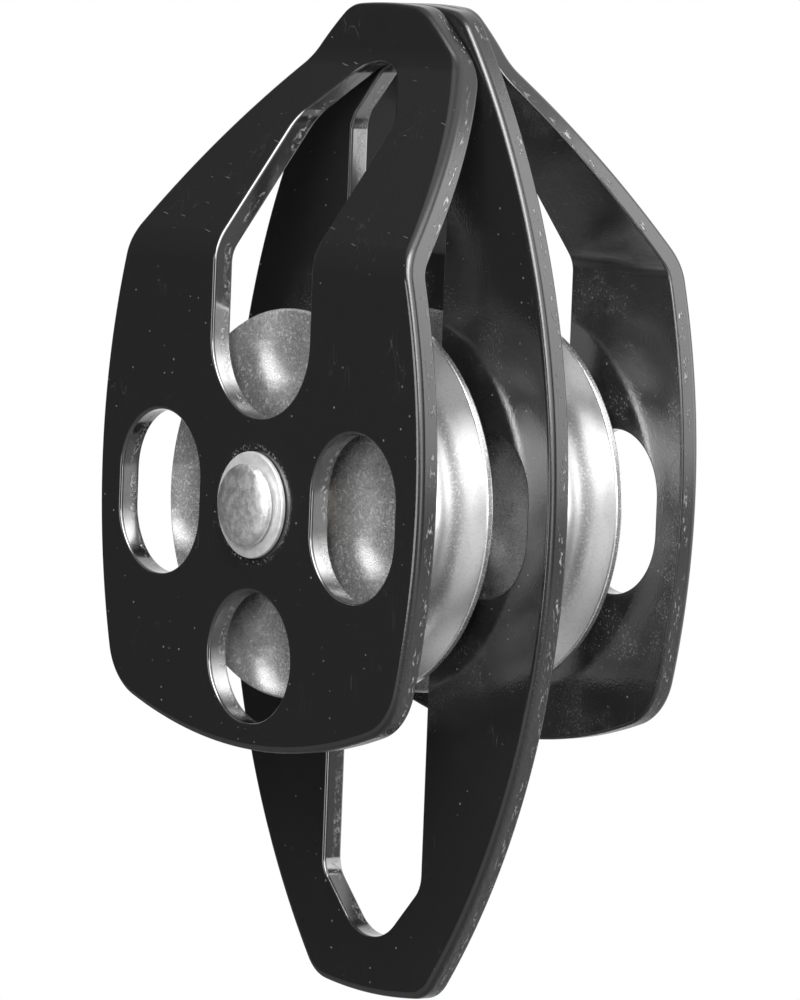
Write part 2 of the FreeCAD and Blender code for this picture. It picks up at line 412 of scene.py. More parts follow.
@dataclass(frozen=True)
class BlackPaint(Finish):
    """Thin glossy black coat on the broad faces of the plates, with dust, hair scratches and a
    painted washer reflection.
    """

    name: str = "black_paint"
    reflection_index: float = 2.0
    base: float = 0.012
    edge_base: float = 0.008
    film_grey: float = 0.05
    marks_and_reflection_grey: float = 0.16
    speck_grey: float = 0.13
    roughness: float = 0.12
    edge_roughness: float = 0.17
    haze_roughness: float = 0.10
    mark_roughness: float = 0.4
    peel: Grain = Grain(0.45, 1.0)
    peel_depth: float = 0.004
    grain: Grain = Grain(2.7, 1.0, 0.7)
    grain_depth: float = 0.016
    mark_depth: float = 0.012
    haze: Grain = Grain(0.10, 3.0, 0.6)
    hazy: Span = (0.40, 0.66)
    filmy: Span = (0.46, 0.70)
    dusty: Span = (0.46, 0.62)
    flecks: Grain = Grain(3.3, 2.0, 0.7)
    film_flecks: Span = (0.30, 0.65)
    dust_flecks: Span = (0.60, 0.74)
    stray_dust: float = 0.10
    specks: Spots = Spots(1.7, 0.15, 0.22, flat=True)
    speck_shift: float = 7.3
    centre_plate_y: float = 2.0
    dusty_radii: Span = (38.0, 28.0)
    scratch: Grain = Grain(0.8, 1.0)
    scratch_squeeze: Triple = (1.0, 1.0, 0.15)
    scratch_line: Band = (NOISE_MIDDLE, 0.008)
    scratch_strength: float = 0.2
    scratch_patch: Grain = Grain(0.13, 2.0, 0.6)
    scratched: Span = (0.58, 0.66)
    # The pale speckled ring round the washer is a painted reflection of the washer's rim.
    crumb: Grain = Grain(3.2, 2.0, 0.7)
    speckled: Span = (0.55, 0.64)
    crumb_radii: Band = (7.5, 0.55)
    outer_face_y: float = 22.0

    def surface(self, sheet: NodeSheet) -> Inputs:
        """Return the coat's inputs, which turn into the edge's along the rolled rims.

        Args:
            sheet: The node sheet.

        Returns:
            The shader's inputs by name.
        """
        place = sheet.place()
        x, y, z = sheet.parts(place)
        wall = sheet.attribute("wall")
        face = 1 - wall
        inward = self.inward(sheet, x, y, z)
        haze = sheet.noise(place, self.haze)
        flecks = sheet.noise(place, self.flecks)

        dusty = haze.ramp(*self.dusty).between(self.stray_dust, 1.0)
        dust = flecks.ramp(*self.dust_flecks) * dusty * inward
        # Painted reflection: pale specks in a ring round the washer, mixed in with the dust.
        dust = dust.larger(self.crumb_ring(sheet, x, y, z))
        marks = dust.larger(self.scratches(sheet) * self.scratch_strength) * face
        film = haze.ramp(*self.filmy) * flecks.ramp(*self.film_flecks) * face * inward
        flat = sheet.joined(x + self.speck_shift * y, z, 0.0)
        specks = sheet.specks(flat, self.specks) * face

        colour = sheet.mixed(wall, grey(self.base), grey(self.edge_base))
        colour = sheet.mixed(film, colour, grey(self.film_grey))
        colour = sheet.mixed(marks, colour, grey(self.marks_and_reflection_grey))
        rough = self.roughness + self.haze_roughness * haze.ramp(*self.hazy) * inward
        rough = rough + wall * (self.edge_roughness - self.roughness)
        peel = sheet.noise(place, self.peel) * self.peel_depth
        height = (peel + sheet.noise(place, self.grain) * self.grain_depth) * face
        return {
            "Base Color": sheet.mixed(specks, colour, grey(self.speck_grey)),
            "Roughness": rough + marks.larger(specks) * self.mark_roughness,
            "IOR": self.reflection_index,
            "Normal": sheet.bump(height + marks * self.mark_depth),
        }

    def inward(self, sheet: NodeSheet, x: Value, y: Value, z: Value) -> Value:
        """Return 1 on the faces turned to a sheave, where dust settles, and 0 on the outer faces.

        Args:
            sheet: The node sheet.
            x: Across the plates in millimetres.
            y: Along the axle in millimetres.
            z: Up in millimetres.

        Returns:
            The mask, which on the centre plate fades out beyond the sheaves.
        """
        normal = sheet.node("ShaderNodeTexCoord").outputs["Normal"]
        turned = (sheet.parts(normal)[1] * y).below(0.0)
        centre = abs(y).below(self.centre_plate_y)
        by_sheave = from_middle(x, z).ramp(*self.dusty_radii)
        return turned.larger(centre) * (1 - centre * (1 - by_sheave))

    def scratches(self, sheet: NodeSheet) -> Value:
        """Return 1 in one of a few hair scratches, most of them upright, and 0 elsewhere.

        Args:
            sheet: The node sheet.

        Returns:
            The mask.
        """
        slim = sheet.stretched(sheet.place(), self.scratch_squeeze)
        lines = sheet.noise(slim, self.scratch).band(*self.scratch_line)
        return lines * sheet.noise(sheet.place(), self.scratch_patch).ramp(*self.scratched)

    def crumb_ring(self, sheet: NodeSheet, x: Value, y: Value, z: Value) -> Value:
        """Return a pale speckled ring round the washer: a painted reflection of the washer's rim
        in the coat.

        Args:
            sheet: The node sheet.
            x: Across the plates in millimetres.
            y: Along the axle in millimetres.
            z: Up in millimetres.

        Returns:
            1 in a speck of the painted ring and 0 elsewhere.
        """
        ring = from_middle(x, z).band(*self.crumb_radii)
        speckles = sheet.noise(sheet.place(), self.crumb).ramp(*self.speckled)
        return ring * speckles * abs(y).above(self.outer_face_y)


@dataclass(frozen=True)
class PaintedEdge(Finish):
    """The black coat over the sheared walls of the plates: a break line, tears, nicks and painted
    glints.
    """

    name: str = "black_paint_edge"
    reflection_index: float = 1.70
    coat_index: float = 1.9
    base: float = 0.008
    # The pale grey of the nicks and crumbs is painted glint.
    nick_glint_grey: float = 0.30
    chip_grey: float = 0.45
    chip_metal: float = 0.8
    roughness: float = 0.24
    hole_roughness: float = 0.14
    plate_shift: float = 0.45
    wander: Grain = Grain(0.22, 2.0, 0.6)
    break_line: Band = (1.25, 0.16)
    break_wander: float = 1.1
    break_depth: float = 0.0025
    tears: Band = (2.05, 0.85)
    tears_wander: float = 1.6
    satin: Grain = Grain(2.6, 2.0, 0.7)
    satin_depth: float = 0.009
    satin_loss_in_holes: float = 0.6
    patch: Grain = Grain(0.22, 2.0)
    patch_squeeze: float = 2.2
    patchy: Span = (0.44, 0.58)
    foot_z: Span = (-6.0, -20.0)
    foot_tears: float = 0.7
    foot: Grain = Grain(1.3, 3.0, 0.65)
    foot_depth: float = 0.16
    nick: Grain = Grain(1.9, 2.0, 0.6)
    nick_length: float = 0.5
    nick_squeeze: float = 1.4
    nicked: Span = (0.55, 0.66)
    nick_depth: float = 0.10
    crumb: Grain = Grain(2.0, 3.0, 0.6)
    speckled: Span = (0.48, 0.60)
    crumb_strength: float = 0.8
    crumb_depth: float = 0.30
    chip: Grain = Grain(1.1, 3.0, 0.7)
    chipped: Span = (0.70, 0.73)
    chipped_rim: Span = (0.3, 0.9)

    def surface(self, sheet: NodeSheet) -> Inputs:
        """Return the edge's inputs: the mesh tells outer walls from those of the holes.

        Args:
            sheet: The node sheet.

        Returns:
            The shader's inputs by name.
        """
        x, y, z = sheet.parts(sheet.place())
        x = x + self.plate_shift * y
        wall = sheet.attribute("wall")
        torn = sheet.attribute("torn")
        cut = 1 - torn
        depth = sheet.attribute("depth")
        along = sheet.joined(x, depth, z)

        # A wavering break line, and the zone of tears behind it
        wander = sheet.noise(sheet.joined(x, 0.0, z), self.wander).swing()
        line = (depth + self.break_wander * wander).band(*self.break_line)
        behind = (depth + self.tears_wander * wander).band(*self.tears)
        low = z.ramp(*self.foot_z) * cut
        slow = sheet.joined(x, depth * self.patch_squeeze, z)
        patches = sheet.noise(slow, self.patch).ramp(*self.patchy)
        patches = patches.larger(low * self.foot_tears)

        long = (x * self.nick_length, depth * self.nick_squeeze, z * self.nick_length)
        nicks = sheet.noise(sheet.joined(*long), self.nick)
        nicks = nicks.ramp(*self.nicked) * behind * patches
        speckles = sheet.noise(along, self.crumb).ramp(*self.speckled) * behind * patches
        chips = sheet.noise(along, self.chip).ramp(*self.chipped)
        chips = chips * sheet.attribute("rim").ramp(*self.chipped_rim)

        # Painted highlight: nicks on the outer walls and crumbs in the holes are painted pale
        # grey as glints, over their real relief.
        pale = nicks * cut + self.crumb_strength * speckles * torn
        base = sheet.mixed(pale, grey(self.base), grey(self.nick_glint_grey))
        satin = sheet.noise(along, self.satin) * self.satin_depth
        height = satin * (1 - self.satin_loss_in_holes * torn)
        height = height - line * self.break_depth * cut
        height = height + nicks * self.nick_depth * cut
        height = height + sheet.noise(along, self.foot) * low * self.foot_depth
        height = (height + speckles * self.crumb_depth * torn) * wall
        return {
            "Base Color": sheet.mixed(chips, base, grey(self.chip_grey)),
            "Roughness": torn.between(self.roughness, self.hole_roughness),
            "Metallic": chips * self.chip_metal,
            "IOR": self.reflection_index,
            "Coat Weight": torn,
            "Coat Roughness": self.hole_roughness,
            "Coat IOR": self.coat_index,
            "Normal": sheet.bump(height),
        }


@dataclass(frozen=True)
class TurnedAlloy(Finish):
    """Bare aluminium: finely blasted sides with painted glints, and a turned groove polished by
    use, with painted dark reflection bands on its flanks.
    """

    name: str = "turned_alloy"
    base: float = 0.96
    side_base: float = 0.70
    side_tones: Span = (0.90, 1.12)
    side_roughness: float = 0.26
    side_metal: float = 0.87
    groove_roughness: float = 0.28
    groove_metal: float = 0.96
    blast: Grain = Grain(5.0, 1.0, 0.75)
    blasted: Span = (0.32, 0.68)
    blast_depth: float = 0.006
    blast_roughness: float = 0.06
    cloud: Grain = Grain(0.40, 2.0, 0.6)
    cloudy: Span = (0.30, 0.62)
    cloud_tone: float = 0.3
    cloud_roughness: float = 0.05
    grit: Grain = Grain(3.2, 1.0, 0.6)
    dark_grit: Span = (0.46, 0.36)
    dark_grit_share: float = 0.14
    dark_grit_tone: float = 0.4
    bright_grit: Span = (0.54, 0.66)
    # The sides' bright grains are painted glints.
    painted_glint_span: Span = (0.52, 0.72)
    stray_painted_glints: float = 0.3
    painted_glint_grey: float = 0.95
    painted_glint_metal_loss: float = 0.20
    glints: Spots = Spots(0.7, 0.16, 0.5)
    glint_depth: float = 0.03
    nicks: Spots = Spots(1.5, 0.14, 0.4)
    nick_share: float = 0.4
    nick_tone: float = 0.45
    nick_depth: float = 0.015
    rings: Grain = Grain(4.5, 3.0, 0.7)
    ring_depth: float = 0.0005
    # The band on the groove's flanks is rougher metal, painted darker as a dark reflection.
    reflection_flank: Band = (4.9, 0.70)
    reflection_band_grey: float = 0.46
    band_share: float = 0.75
    band_blast: float = 0.5
    band_grit_loss: float = 0.7
    band_roughness: float = 0.10

    def surface(self, sheet: NodeSheet) -> Inputs:
        """Return the inputs: the groove is told from the sides by the mesh.

        Args:
            sheet: The node sheet.

        Returns:
            The shader's inputs by name.
        """
        place = sheet.place()
        groove = sheet.attribute("groove")
        side = 1 - groove
        blast = sheet.noise(place, self.blast)
        cloud = sheet.noise(place, self.cloud)
        grit = sheet.noise(place, self.grit)
        # Painted highlight: pale, less metallic grains on the sides stand in for the glints of
        # the blasted skin.
        cloudy = cloud.ramp(*self.cloudy).between(self.stray_painted_glints, 1.0)
        painted_glints = grit.ramp(*self.painted_glint_span) * cloudy * side
        nicks = sheet.specks(place, self.nicks)
        worn = self.flank_reflection_band(sheet, blast, grit)

        low, high = (grey(self.side_base * tone) for tone in self.side_tones)
        pale = (blast + self.cloud_tone * cloud.swing()).ramp(*self.blasted)
        tone = sheet.mixed(side, grey(self.base), sheet.mixed(pale, low, high))
        dark = grit.ramp(*self.dark_grit) * self.dark_grit_share * groove
        tone = sheet.mixed(dark, tone, grey(self.base * self.dark_grit_tone))
        # Painted reflection: the flank band is painted darker grey where the groove shows a dark
        # reflection.
        tone = sheet.mixed(worn, tone, grey(self.reflection_band_grey))
        tone = sheet.mixed(painted_glints, tone, grey(self.painted_glint_grey))
        tone = sheet.mixed(nicks * self.nick_share, tone, grey(self.base * self.nick_tone))

        uneven = self.cloud_roughness * cloud.swing() + self.blast_roughness * pale
        rough = side.between(self.groove_roughness, self.side_roughness)
        rough = rough + uneven * side + self.band_roughness * worn
        turn = sheet.joined(sheet.attribute("turn"), 0.0, 0.0)
        height = blast * self.blast_depth * side
        height = height + sheet.specks(place, self.glints) * side * self.glint_depth
        height = height + sheet.noise(turn, self.rings) * self.ring_depth * groove
        metal = side.between(self.groove_metal, self.side_metal)
        return {
            "Base Color": tone,
            "Roughness": rough,
            "Metallic": metal - self.painted_glint_metal_loss * painted_glints,
            "Normal": sheet.bump(height - nicks * side * self.nick_depth),
        }

    def flank_reflection_band(self, sheet: NodeSheet, blast: Value, grit: Value) -> Value:
        """Return the bands on the groove's flanks: rougher metal, painted darker as a dark
        reflection.

        Args:
            sheet: The node sheet.
            blast: The fine noise of the blasted skin.
            grit: The coarser noise, whose bright grains shine through.

        Returns:
            The share of the band.
        """
        _, y, _ = sheet.parts(sheet.place())
        flank = abs(abs(y) - SHEAVE_MID_Y).band(*self.reflection_flank)
        worn = flank * sheet.attribute("groove")
        worn = worn * (1 - self.band_grit_loss * grit.ramp(*self.bright_grit))
        return worn * (self.band_share + self.band_blast * blast.swing())


@dataclass(frozen=True)
class RivetSteel(Finish):
    """Zinc plated steel of a formed rivet head, mottled by the forming tool."""

    name: str = "rivet_steel"
    base: float = 0.84
    tones: Span = (0.76, 1.12)
    roughness: float = 0.47
    mottle: Grain = Grain(0.9, 4.0, 0.65)
    mottled: Span = (0.35, 0.65)
    mottle_depth: float = 0.035
    mottle_roughness: float = 0.12
    fine: Grain = Grain(4.6, 1.0, 0.6)
    fine_depth: float = 0.07
    pits: Spots = Spots(1.1, 0.2, 0.4)
    pit_share: float = 0.7
    pit_tone: float = 0.3
    pit_depth: float = 0.05

    def surface(self, sheet: NodeSheet) -> Inputs:
        """Return the inputs of a mottled satin metal.

        Args:
            sheet: The node sheet.

        Returns:
            The shader's inputs by name.
        """
        place = sheet.place()
        mottle = sheet.noise(place, self.mottle)
        fine = sheet.noise(place, self.fine)
        pits = sheet.specks(place, self.pits)
        low, high = (grey(self.base * tone) for tone in self.tones)
        tone = sheet.mixed(mottle.ramp(*self.mottled), low, high)
        pit_grey = grey(self.base * self.pit_tone)
        height = mottle * self.mottle_depth + fine * self.fine_depth
        return {
            "Base Color": sheet.mixed(pits * self.pit_share, tone, pit_grey),
            "Roughness": self.roughness + self.mottle_roughness * mottle.swing(),
            "Metallic": 1.0,
            "Normal": sheet.bump(height - pits * self.pit_depth),
        }


@dataclass(frozen=True)
class WasherSteel(Finish):
    """Bright zinc plated washer steel."""

    name: str = "washer_steel"
    base: float = 0.72
    dull_tone: float = 0.8
    roughness: float = 0.50
    metal: float = 0.6
    cloud: Grain = Grain(0.8, 3.0, 0.6)
    cloudy: Span = (0.35, 0.7)
    cloud_depth: float = 0.02
    cloud_roughness: float = 0.12
    fine: Grain = Grain(2.6, 2.0, 0.6)
    fine_depth: float = 0.008

    def surface(self, sheet: NodeSheet) -> Inputs:
        """Return the inputs of a pale, slightly dusty metal.

        Args:
            sheet: The node sheet.

        Returns:
            The shader's inputs by name.
        """
        place = sheet.place()
        cloud = sheet.noise(place, self.cloud)
        fine = sheet.noise(place, self.fine)
        dull = grey(self.base * self.dull_tone)
        return {
            "Base Color": sheet.mixed(cloud.ramp(*self.cloudy), grey(self.base), dull),
            "Roughness": self.roughness + self.cloud_roughness * cloud.swing(),
            "Metallic": self.metal,
            "Normal": sheet.bump(cloud * self.cloud_depth + fine * self.fine_depth),
        }


@dataclass(frozen=True)
class BearingSteel(Finish):
    """Ground bearing steel under a film of grease."""

    name: str = "bearing_steel"
    base: float = 0.50
    grease_tone: float = 0.55
    grease_warmth: float = 0.06
    roughness: float = 0.22
    rings: Grain = Grain(1.0, 3.0, 0.6)
    ring_squeeze: Triple = (0.4, 9.0, 0.4)
    ring_depth: float = 0.003
    grease: Grain = Grain(0.6, 3.0, 0.6)
    greasy: Span = (0.48, 0.66)
    grease_depth: float = 0.01
    grease_roughness: float = 0.18

    def surface(self, sheet: NodeSheet) -> Inputs:
        """Return the inputs of a ground steel with greasy patches.

        Args:
            sheet: The node sheet.

        Returns:
            The shader's inputs by name.
        """
        place = sheet.place()
        rings = sheet.noise(sheet.stretched(place, self.ring_squeeze), self.rings)
        grease = sheet.noise(place, self.grease).ramp(*self.greasy)
        wet = grey(self.base * self.grease_tone, self.grease_warmth)
        return {
            "Base Color": sheet.mixed(grease, grey(self.base), wet),
            "Roughness": self.roughness + self.grease_roughness * grease,
            "Metallic": 1.0,
            "Normal": sheet.bump(rings * self.ring_depth + grease * self.grease_depth),
        }


@dataclass(frozen=True)
class SpacerBronze(Finish):
    """Dull bearing bronze with turning marks."""

    name: str = "spacer_bronze"
    base: Colour = (0.30, 0.27, 0.22, 1.0)
    worn: Colour = (0.20, 0.18, 0.15, 1.0)
    roughness: float = 0.36
    rings: Grain = Grain(5.0, 3.0, 0.6)
    ring_depth: float = 0.006
    cloud: Grain = Grain(0.7, 3.0, 0.6)
    cloudy: Span = (0.4, 0.7)
    cloud_roughness: float = 0.2

    def surface(self, sheet: NodeSheet) -> Inputs:
        """Return the inputs of a dull bronze.

        Args:
            sheet: The node sheet.

        Returns:
            The shader's inputs by name.
        """
        place = sheet.place()
        x, y, z = sheet.parts(place)
        turned = sheet.joined(from_middle(x, z), y, 0.0)
        cloud = sheet.noise(place, self.cloud)
        return {
            "Base Color": sheet.mixed(cloud.ramp(*self.cloudy), self.base, self.worn),
            "Roughness": self.roughness + self.cloud_roughness * cloud.swing(),
            "Metallic": 1.0,
            "Normal": sheet.bump(sheet.noise(turned, self.rings) * self.ring_depth),
        }


# Outlines of the front view


@dataclass(frozen=True)
class RimPoint:
    """A point of a closed outline, with the direction square to it, away from its inside."""

    x: float
    z: float
    out_x: float
    out_z: float


@dataclass(frozen=True)
class Belt:
    """A closed outline that runs round circles as a tight belt does, anticlockwise."""

    circles: tuple[Circle, ...]
    hole: bool = False
    spacing: float = 0.45
    widest_step: float = 0.12

    def sample(self) -> list[RimPoint]:
        """Return points along the belt, evenly spaced on each arc and straight run.

        Returns:
            The points, of which the last one isn't the first one again.
        """
        count = len(self.circles)
        turns = [
            self.touch(self.circles[index], self.circles[(index + 1) % count])
            for index in range(count)
        ]
        points: list[RimPoint] = []
        for index, (x, z, radius) in enumerate(self.circles):
            start = turns[index - 1]
            sweep = (turns[index] - start) % math.tau or math.tau
            steps = max(
                2,
                math.ceil(radius * sweep / self.spacing),
                math.ceil(sweep / self.widest_step),
            )
            angles = [start + sweep * step / steps for step in range(steps + 1)]
            for angle in angles if count > 1 else angles[:-1]:
                self.extend(points, self.at(x, z, radius, angle))
        if count > 1:
            self.extend(points, points[0], closing=True)
        return points

    @staticmethod
    def touch(first: Circle, second: Circle) -> float:
        """Return the outward angle at which the belt leaves one circle for the next.

        Args:
            first: The circle that it leaves.
            second: The next circle.

        Returns:
            The angle from the X axis.
        """
        x, z = second[0] - first[0], second[1] - first[1]
        distance = math.hypot(x, z)
        if distance == 0:
            return 0.0
        lean = max(-1.0, min(1.0, (first[2] - second[2]) / distance))
        return math.atan2(z, x) - math.acos(lean)

    @staticmethod
    def at(x: float, z: float, radius: float, angle: float) -> RimPoint:
        """Return the point of a circle at an angle."""
        out_x, out_z = math.cos(angle), math.sin(angle)
        return RimPoint(x + radius * out_x, z + radius * out_z, out_x, out_z)

    def extend(self, points: list[RimPoint], new: RimPoint, closing: bool = False) -> None:
        """Add a point, and the points of the straight run that leads to it.

        Args:
            points: The points so far.
            new: The next point.
            closing: True for the run back to the first point, which is there already.
        """
        if points:
            last = points[-1]
            gap = math.hypot(new.x - last.x, new.z - last.z)
            steps = math.ceil(gap / self.spacing - TINY)
            for step in range(1, steps):
                share = step / steps
                x = last.x + (new.x - last.x) * share
                z = last.z + (new.z - last.z) * share
                points.append(RimPoint(x, z, new.out_x, new.out_z))
            if closing and gap < TINY:
                points.pop()
            if closing or gap < TINY:
                return
        points.append(new)


def nested_circle(first: Circle, second: Circle, radius: float, way: float) -> Circle:
    """Return the small circle that lies inside two large ones and touches both.

    Args:
        first: A circle.
        second: Another circle.
        radius: The small circle's radius.
        way: 1 for the crossing with the larger Z, -1 for the other.

    Returns:
        The small circle.
    """
    near, far = first[2] - radius, second[2] - radius
    span = Vector((second[0] - first[0], second[1] - first[1]))
    along = (span.length**2 + near**2 - far**2) / (2 * span.length)
    across = math.sqrt(near**2 - along**2)
    unit = span.normalized()
    options = [
        (first[0] + unit.x * along + unit.y * turn, first[1] + unit.y * along - unit.x * turn)
        for turn in (across, -across)
    ]
    x, z = max(options, key=lambda option: option[1] * way)
    return (x, z, radius)


def flipped(circle: Circle, x_way: int = 1, z_way: int = 1) -> Circle:
    """Return a circle's mirror image across the front view's middle lines."""
    return (circle[0] * x_way, circle[1] * z_way, circle[2])


@dataclass(frozen=True)
class PlatePattern:
    """The outlines and holes of the plates in the front view, in millimetres."""

    centre_half_width: float = 33.5
    centre_side_radius: float = 103.0
    end_z: float = 64.4
    side_half_width: float = 33.6
    side_widest_z: float = 3.0
    side_lower_radius: float = 100.0
    side_upper_radius: float = 60.0
    side_radius_change_z: float = 36.0
    foot_z: float = -31.5
    foot_crown_radius: float = 76.0
    foot_corner_radius: float = 8.5
    crown_radius: float = 72.0
    corner_radius: float = 5.5
    slot_half_width: float = 10.1
    slot_inner_end_z: float = 11.1
    slot_shoulder_z: float = 49.2
    slot_shoulder_radius: float = 4.0
    slot_tip_z: float = 56.8
    slot_tip_radius: float = 6.7
    hole_x: float = 20.26
    hole_radius: float = 8.4
    hole_straight: float = 4.5
    foot_hole_z: float = -19.6
    foot_hole_radius: float = 8.45
    axle_hole_radius: float = 4.05

    def centre_outline(self) -> Belt:
        """Return the lens outline of the centre plate.

        Returns:
            The outline, of four pairs of arcs.
        """
        side = (self.centre_half_width - self.centre_side_radius, 0.0, self.centre_side_radius)
        crown = (0.0, self.end_z - self.crown_radius, self.crown_radius)
        corner = nested_circle(side, crown, self.corner_radius, 1)
        upper = (side, corner, crown, flipped(corner, x_way=-1))
        return Belt((*upper, *(flipped(circle, -1, -1) for circle in upper)))

    def side_outline(self) -> Belt:
        """Return the outline of a side plate.

        Returns:
            The outline: a foot, two sides of two arcs each, and a crown.
        """
        lower_x = self.side_half_width - self.side_lower_radius
        lower = (lower_x, self.side_widest_z, self.side_lower_radius)
        rise = self.side_radius_change_z - self.side_widest_z
        change = Vector((math.sqrt(self.side_lower_radius**2 - rise**2), rise))
        inset = change * (1 - self.side_upper_radius / self.side_lower_radius)
        upper = (lower_x + inset.x, self.side_widest_z + inset.y, self.side_upper_radius)
        crown = (0.0, self.end_z - self.crown_radius, self.crown_radius)
        foot = (0.0, self.foot_z + self.foot_crown_radius, self.foot_crown_radius)
        top_corner = nested_circle(upper, crown, self.corner_radius, 1)
        foot_corner = nested_circle(lower, foot, self.foot_corner_radius, -1)
        right = (foot_corner, lower, upper, top_corner)
        left = tuple(flipped(circle, x_way=-1) for circle in reversed(right))
        return Belt((*right, crown, *left, foot))

    def slot(self, z_way: int = 1) -> Belt:
        """Return a long slot: a round inner end and a blunt tip.

        Args:
            z_way: 1 for the slot above the axle, -1 for the one below it.

        Returns:
            The slot's outline.
        """
        end_z = self.slot_inner_end_z + self.slot_half_width
        tip = (0.0, self.slot_tip_z - self.slot_tip_radius, self.slot_tip_radius)
        tip_rise = tip[1] - self.slot_shoulder_z
        reach = math.hypot(self.slot_half_width, tip_rise)
        flank = math.atan2(tip_rise, self.slot_half_width) + math.asin(tip[2] / reach)
        run = self.slot_shoulder_radius / math.tan((math.pi / 2 + flank) / 2)
        shoulder = (
            self.slot_half_width - self.slot_shoulder_radius,
            self.slot_shoulder_z - run,
            self.slot_shoulder_radius,
        )
        ring = [(0.0, end_z, self.slot_half_width), shoulder, tip, flipped(shoulder, x_way=-1)]
        if z_way < 0:
            ring = [flipped(circle, z_way=-1) for circle in reversed(ring)]
        return Belt(tuple(ring), hole=True)

    def side_hole(self, x_way: int) -> Belt:
        """Return the long hole at one side of the axle.

        Args:
            x_way: 1 for the hole at the larger X, -1 for the other.

        Returns:
            The hole's outline.
        """
        half = self.hole_straight / 2
        x = x_way * self.hole_x
        return Belt(((x, half, self.hole_radius), (x, -half, self.hole_radius)), hole=True)

    def foot_hole(self) -> Belt:
        """Return the round hole below the axle."""
        return Belt(((0.0, self.foot_hole_z, self.foot_hole_radius),), hole=True)

    def axle_hole(self) -> Belt:
        """Return the axle's hole."""
        return Belt(((0.0, 0.0, self.axle_hole_radius),), hole=True)


# Sections across the plates


@dataclass(frozen=True)
class FlatSection:
    """The section of a flat plate."""

    outer_y: float
    inner_y: float
    cuts: tuple[float, ...] = ()

    def outer(self, z: float) -> tuple[float, float]:
        """Return the outer face's Y at a height, and its slope."""
        return self.outer_y, 0.0

    def inner(self, z: float) -> tuple[float, float]:
        """Return the inner face's Y at a height, and its slope."""
        return self.inner_y, 0.0


@dataclass(frozen=True)
class BentFace:
    """One face of a bent sheet: upright, an arc, a straight lean, an arc, upright."""

    low_y: float
    high_y: float
    bend_z: float
    lean: float
    low_radius: float
    high_radius: float

    def levels(self) -> tuple[float, float, float, float]:
        """Return the heights at which the two arcs start and end.

        Returns:
            The lower arc's start and end, and the upper arc's.
        """
        rise = (self.low_y - self.high_y) / math.tan(self.lean)
        low_run = self.low_radius * math.tan(self.lean / 2)
        high_run = self.high_radius * math.tan(self.lean / 2)
        top = self.bend_z + rise
        return (
            self.bend_z - low_run,
            self.bend_z + low_run * math.cos(self.lean),
            top - high_run * math.cos(self.lean),
            top + high_run,
        )

    def at(self, z: float) -> tuple[float, float]:
        """Return the face's Y at a height, and its slope there.

        Args:
            z: The height.

        Returns:
            Y and its change for each millimetre of height.
        """
        low, low_end, high_start, high = self.levels()
        if z <= low:
            return self.low_y, 0.0
        if z >= high:
            return self.high_y, 0.0
        if z < low_end:
            sine = (z - low) / self.low_radius
            cosine = math.sqrt(1 - sine * sine)
            return self.low_y - self.low_radius * (1 - cosine), -sine / cosine
        if z > high_start:
            sine = (high - z) / self.high_radius
            cosine = math.sqrt(1 - sine * sine)
            return self.high_y + self.high_radius * (1 - cosine), -sine / cosine
        slope = -math.tan(self.lean)
        return self.low_y + (z - self.bend_z) * slope, slope


@dataclass(frozen=True)
class BentSection:
    """The section of a side plate: one sheet with two opposite bends."""

    outer_y: float = 22.9
    tab_outer_y: float = 4.6
    lean_start_z: float = 32.65
    lean_deg: float = 36.8
    inner_radius: float = 4.0
    steps_in_bend: int = 12
    least_step: float = 0.03

    def faces(self) -> tuple[BentFace, BentFace]:
        """Return the outer and the inner face.

        Returns:
            The two faces.
        """
        lean = math.radians(self.lean_deg)
        shift = SHEET_THICKNESS * math.tan(lean / 2)
        wide = self.inner_radius + SHEET_THICKNESS
        outer = BentFace(
            self.outer_y, self.tab_outer_y, self.lean_start_z, lean, wide, self.inner_radius
        )
        inner = BentFace(
            self.outer_y - SHEET_THICKNESS,
            self.tab_outer_y - SHEET_THICKNESS,
            self.lean_start_z - shift,
            lean,
            self.inner_radius,
            wide,
        )
        return outer, inner

    @property
    def cuts(self) -> tuple[float, ...]:
        """Return the heights at which the mesh needs an edge."""
        heights: set[float] = set()
        for face in self.faces():
            levels = face.levels()
            for start, end in (levels[:2], levels[2:]):
                step = (end - start) / self.steps_in_bend
                heights |= {round(start + step * k, 4) for k in range(self.steps_in_bend + 1)}
        kept: list[float] = []
        for height in sorted(heights):
            if not kept or height - kept[-1] > self.least_step:
                kept.append(height)
        return tuple(kept)

    def outer(self, z: float) -> tuple[float, float]:
        """Return the outer face's Y at a height, and its slope."""
        return self.faces()[0].at(z)

    def inner(self, z: float) -> tuple[float, float]:
        """Return the inner face's Y at a height, and its slope."""
        return self.faces()[1].at(z)


# Mesh building


def finish_object(
    mesh: bpy.types.Mesh, name: str, finishes: Sequence[Finish], body: str, node: str
) -> None:
    """Make a piece of a mesh, dress it, and hang it on the frame.

    Args:
        mesh: The mesh, in metres in the row frame.
        name: The piece's name.
        finishes: What its faces are dressed with.
        body: The CAD body that it rides on.
        node: The CAD node that it stands for.
    """
    for finish in finishes:
        mesh.materials.append(finish.material())
    piece = bpy.data.objects.new(name, mesh)
    bpy.context.scene.collection.objects.link(piece)
    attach(piece, body)
    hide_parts(node)
    LOG.info("%s: %d faces, on %s", name, len(mesh.polygons), body)


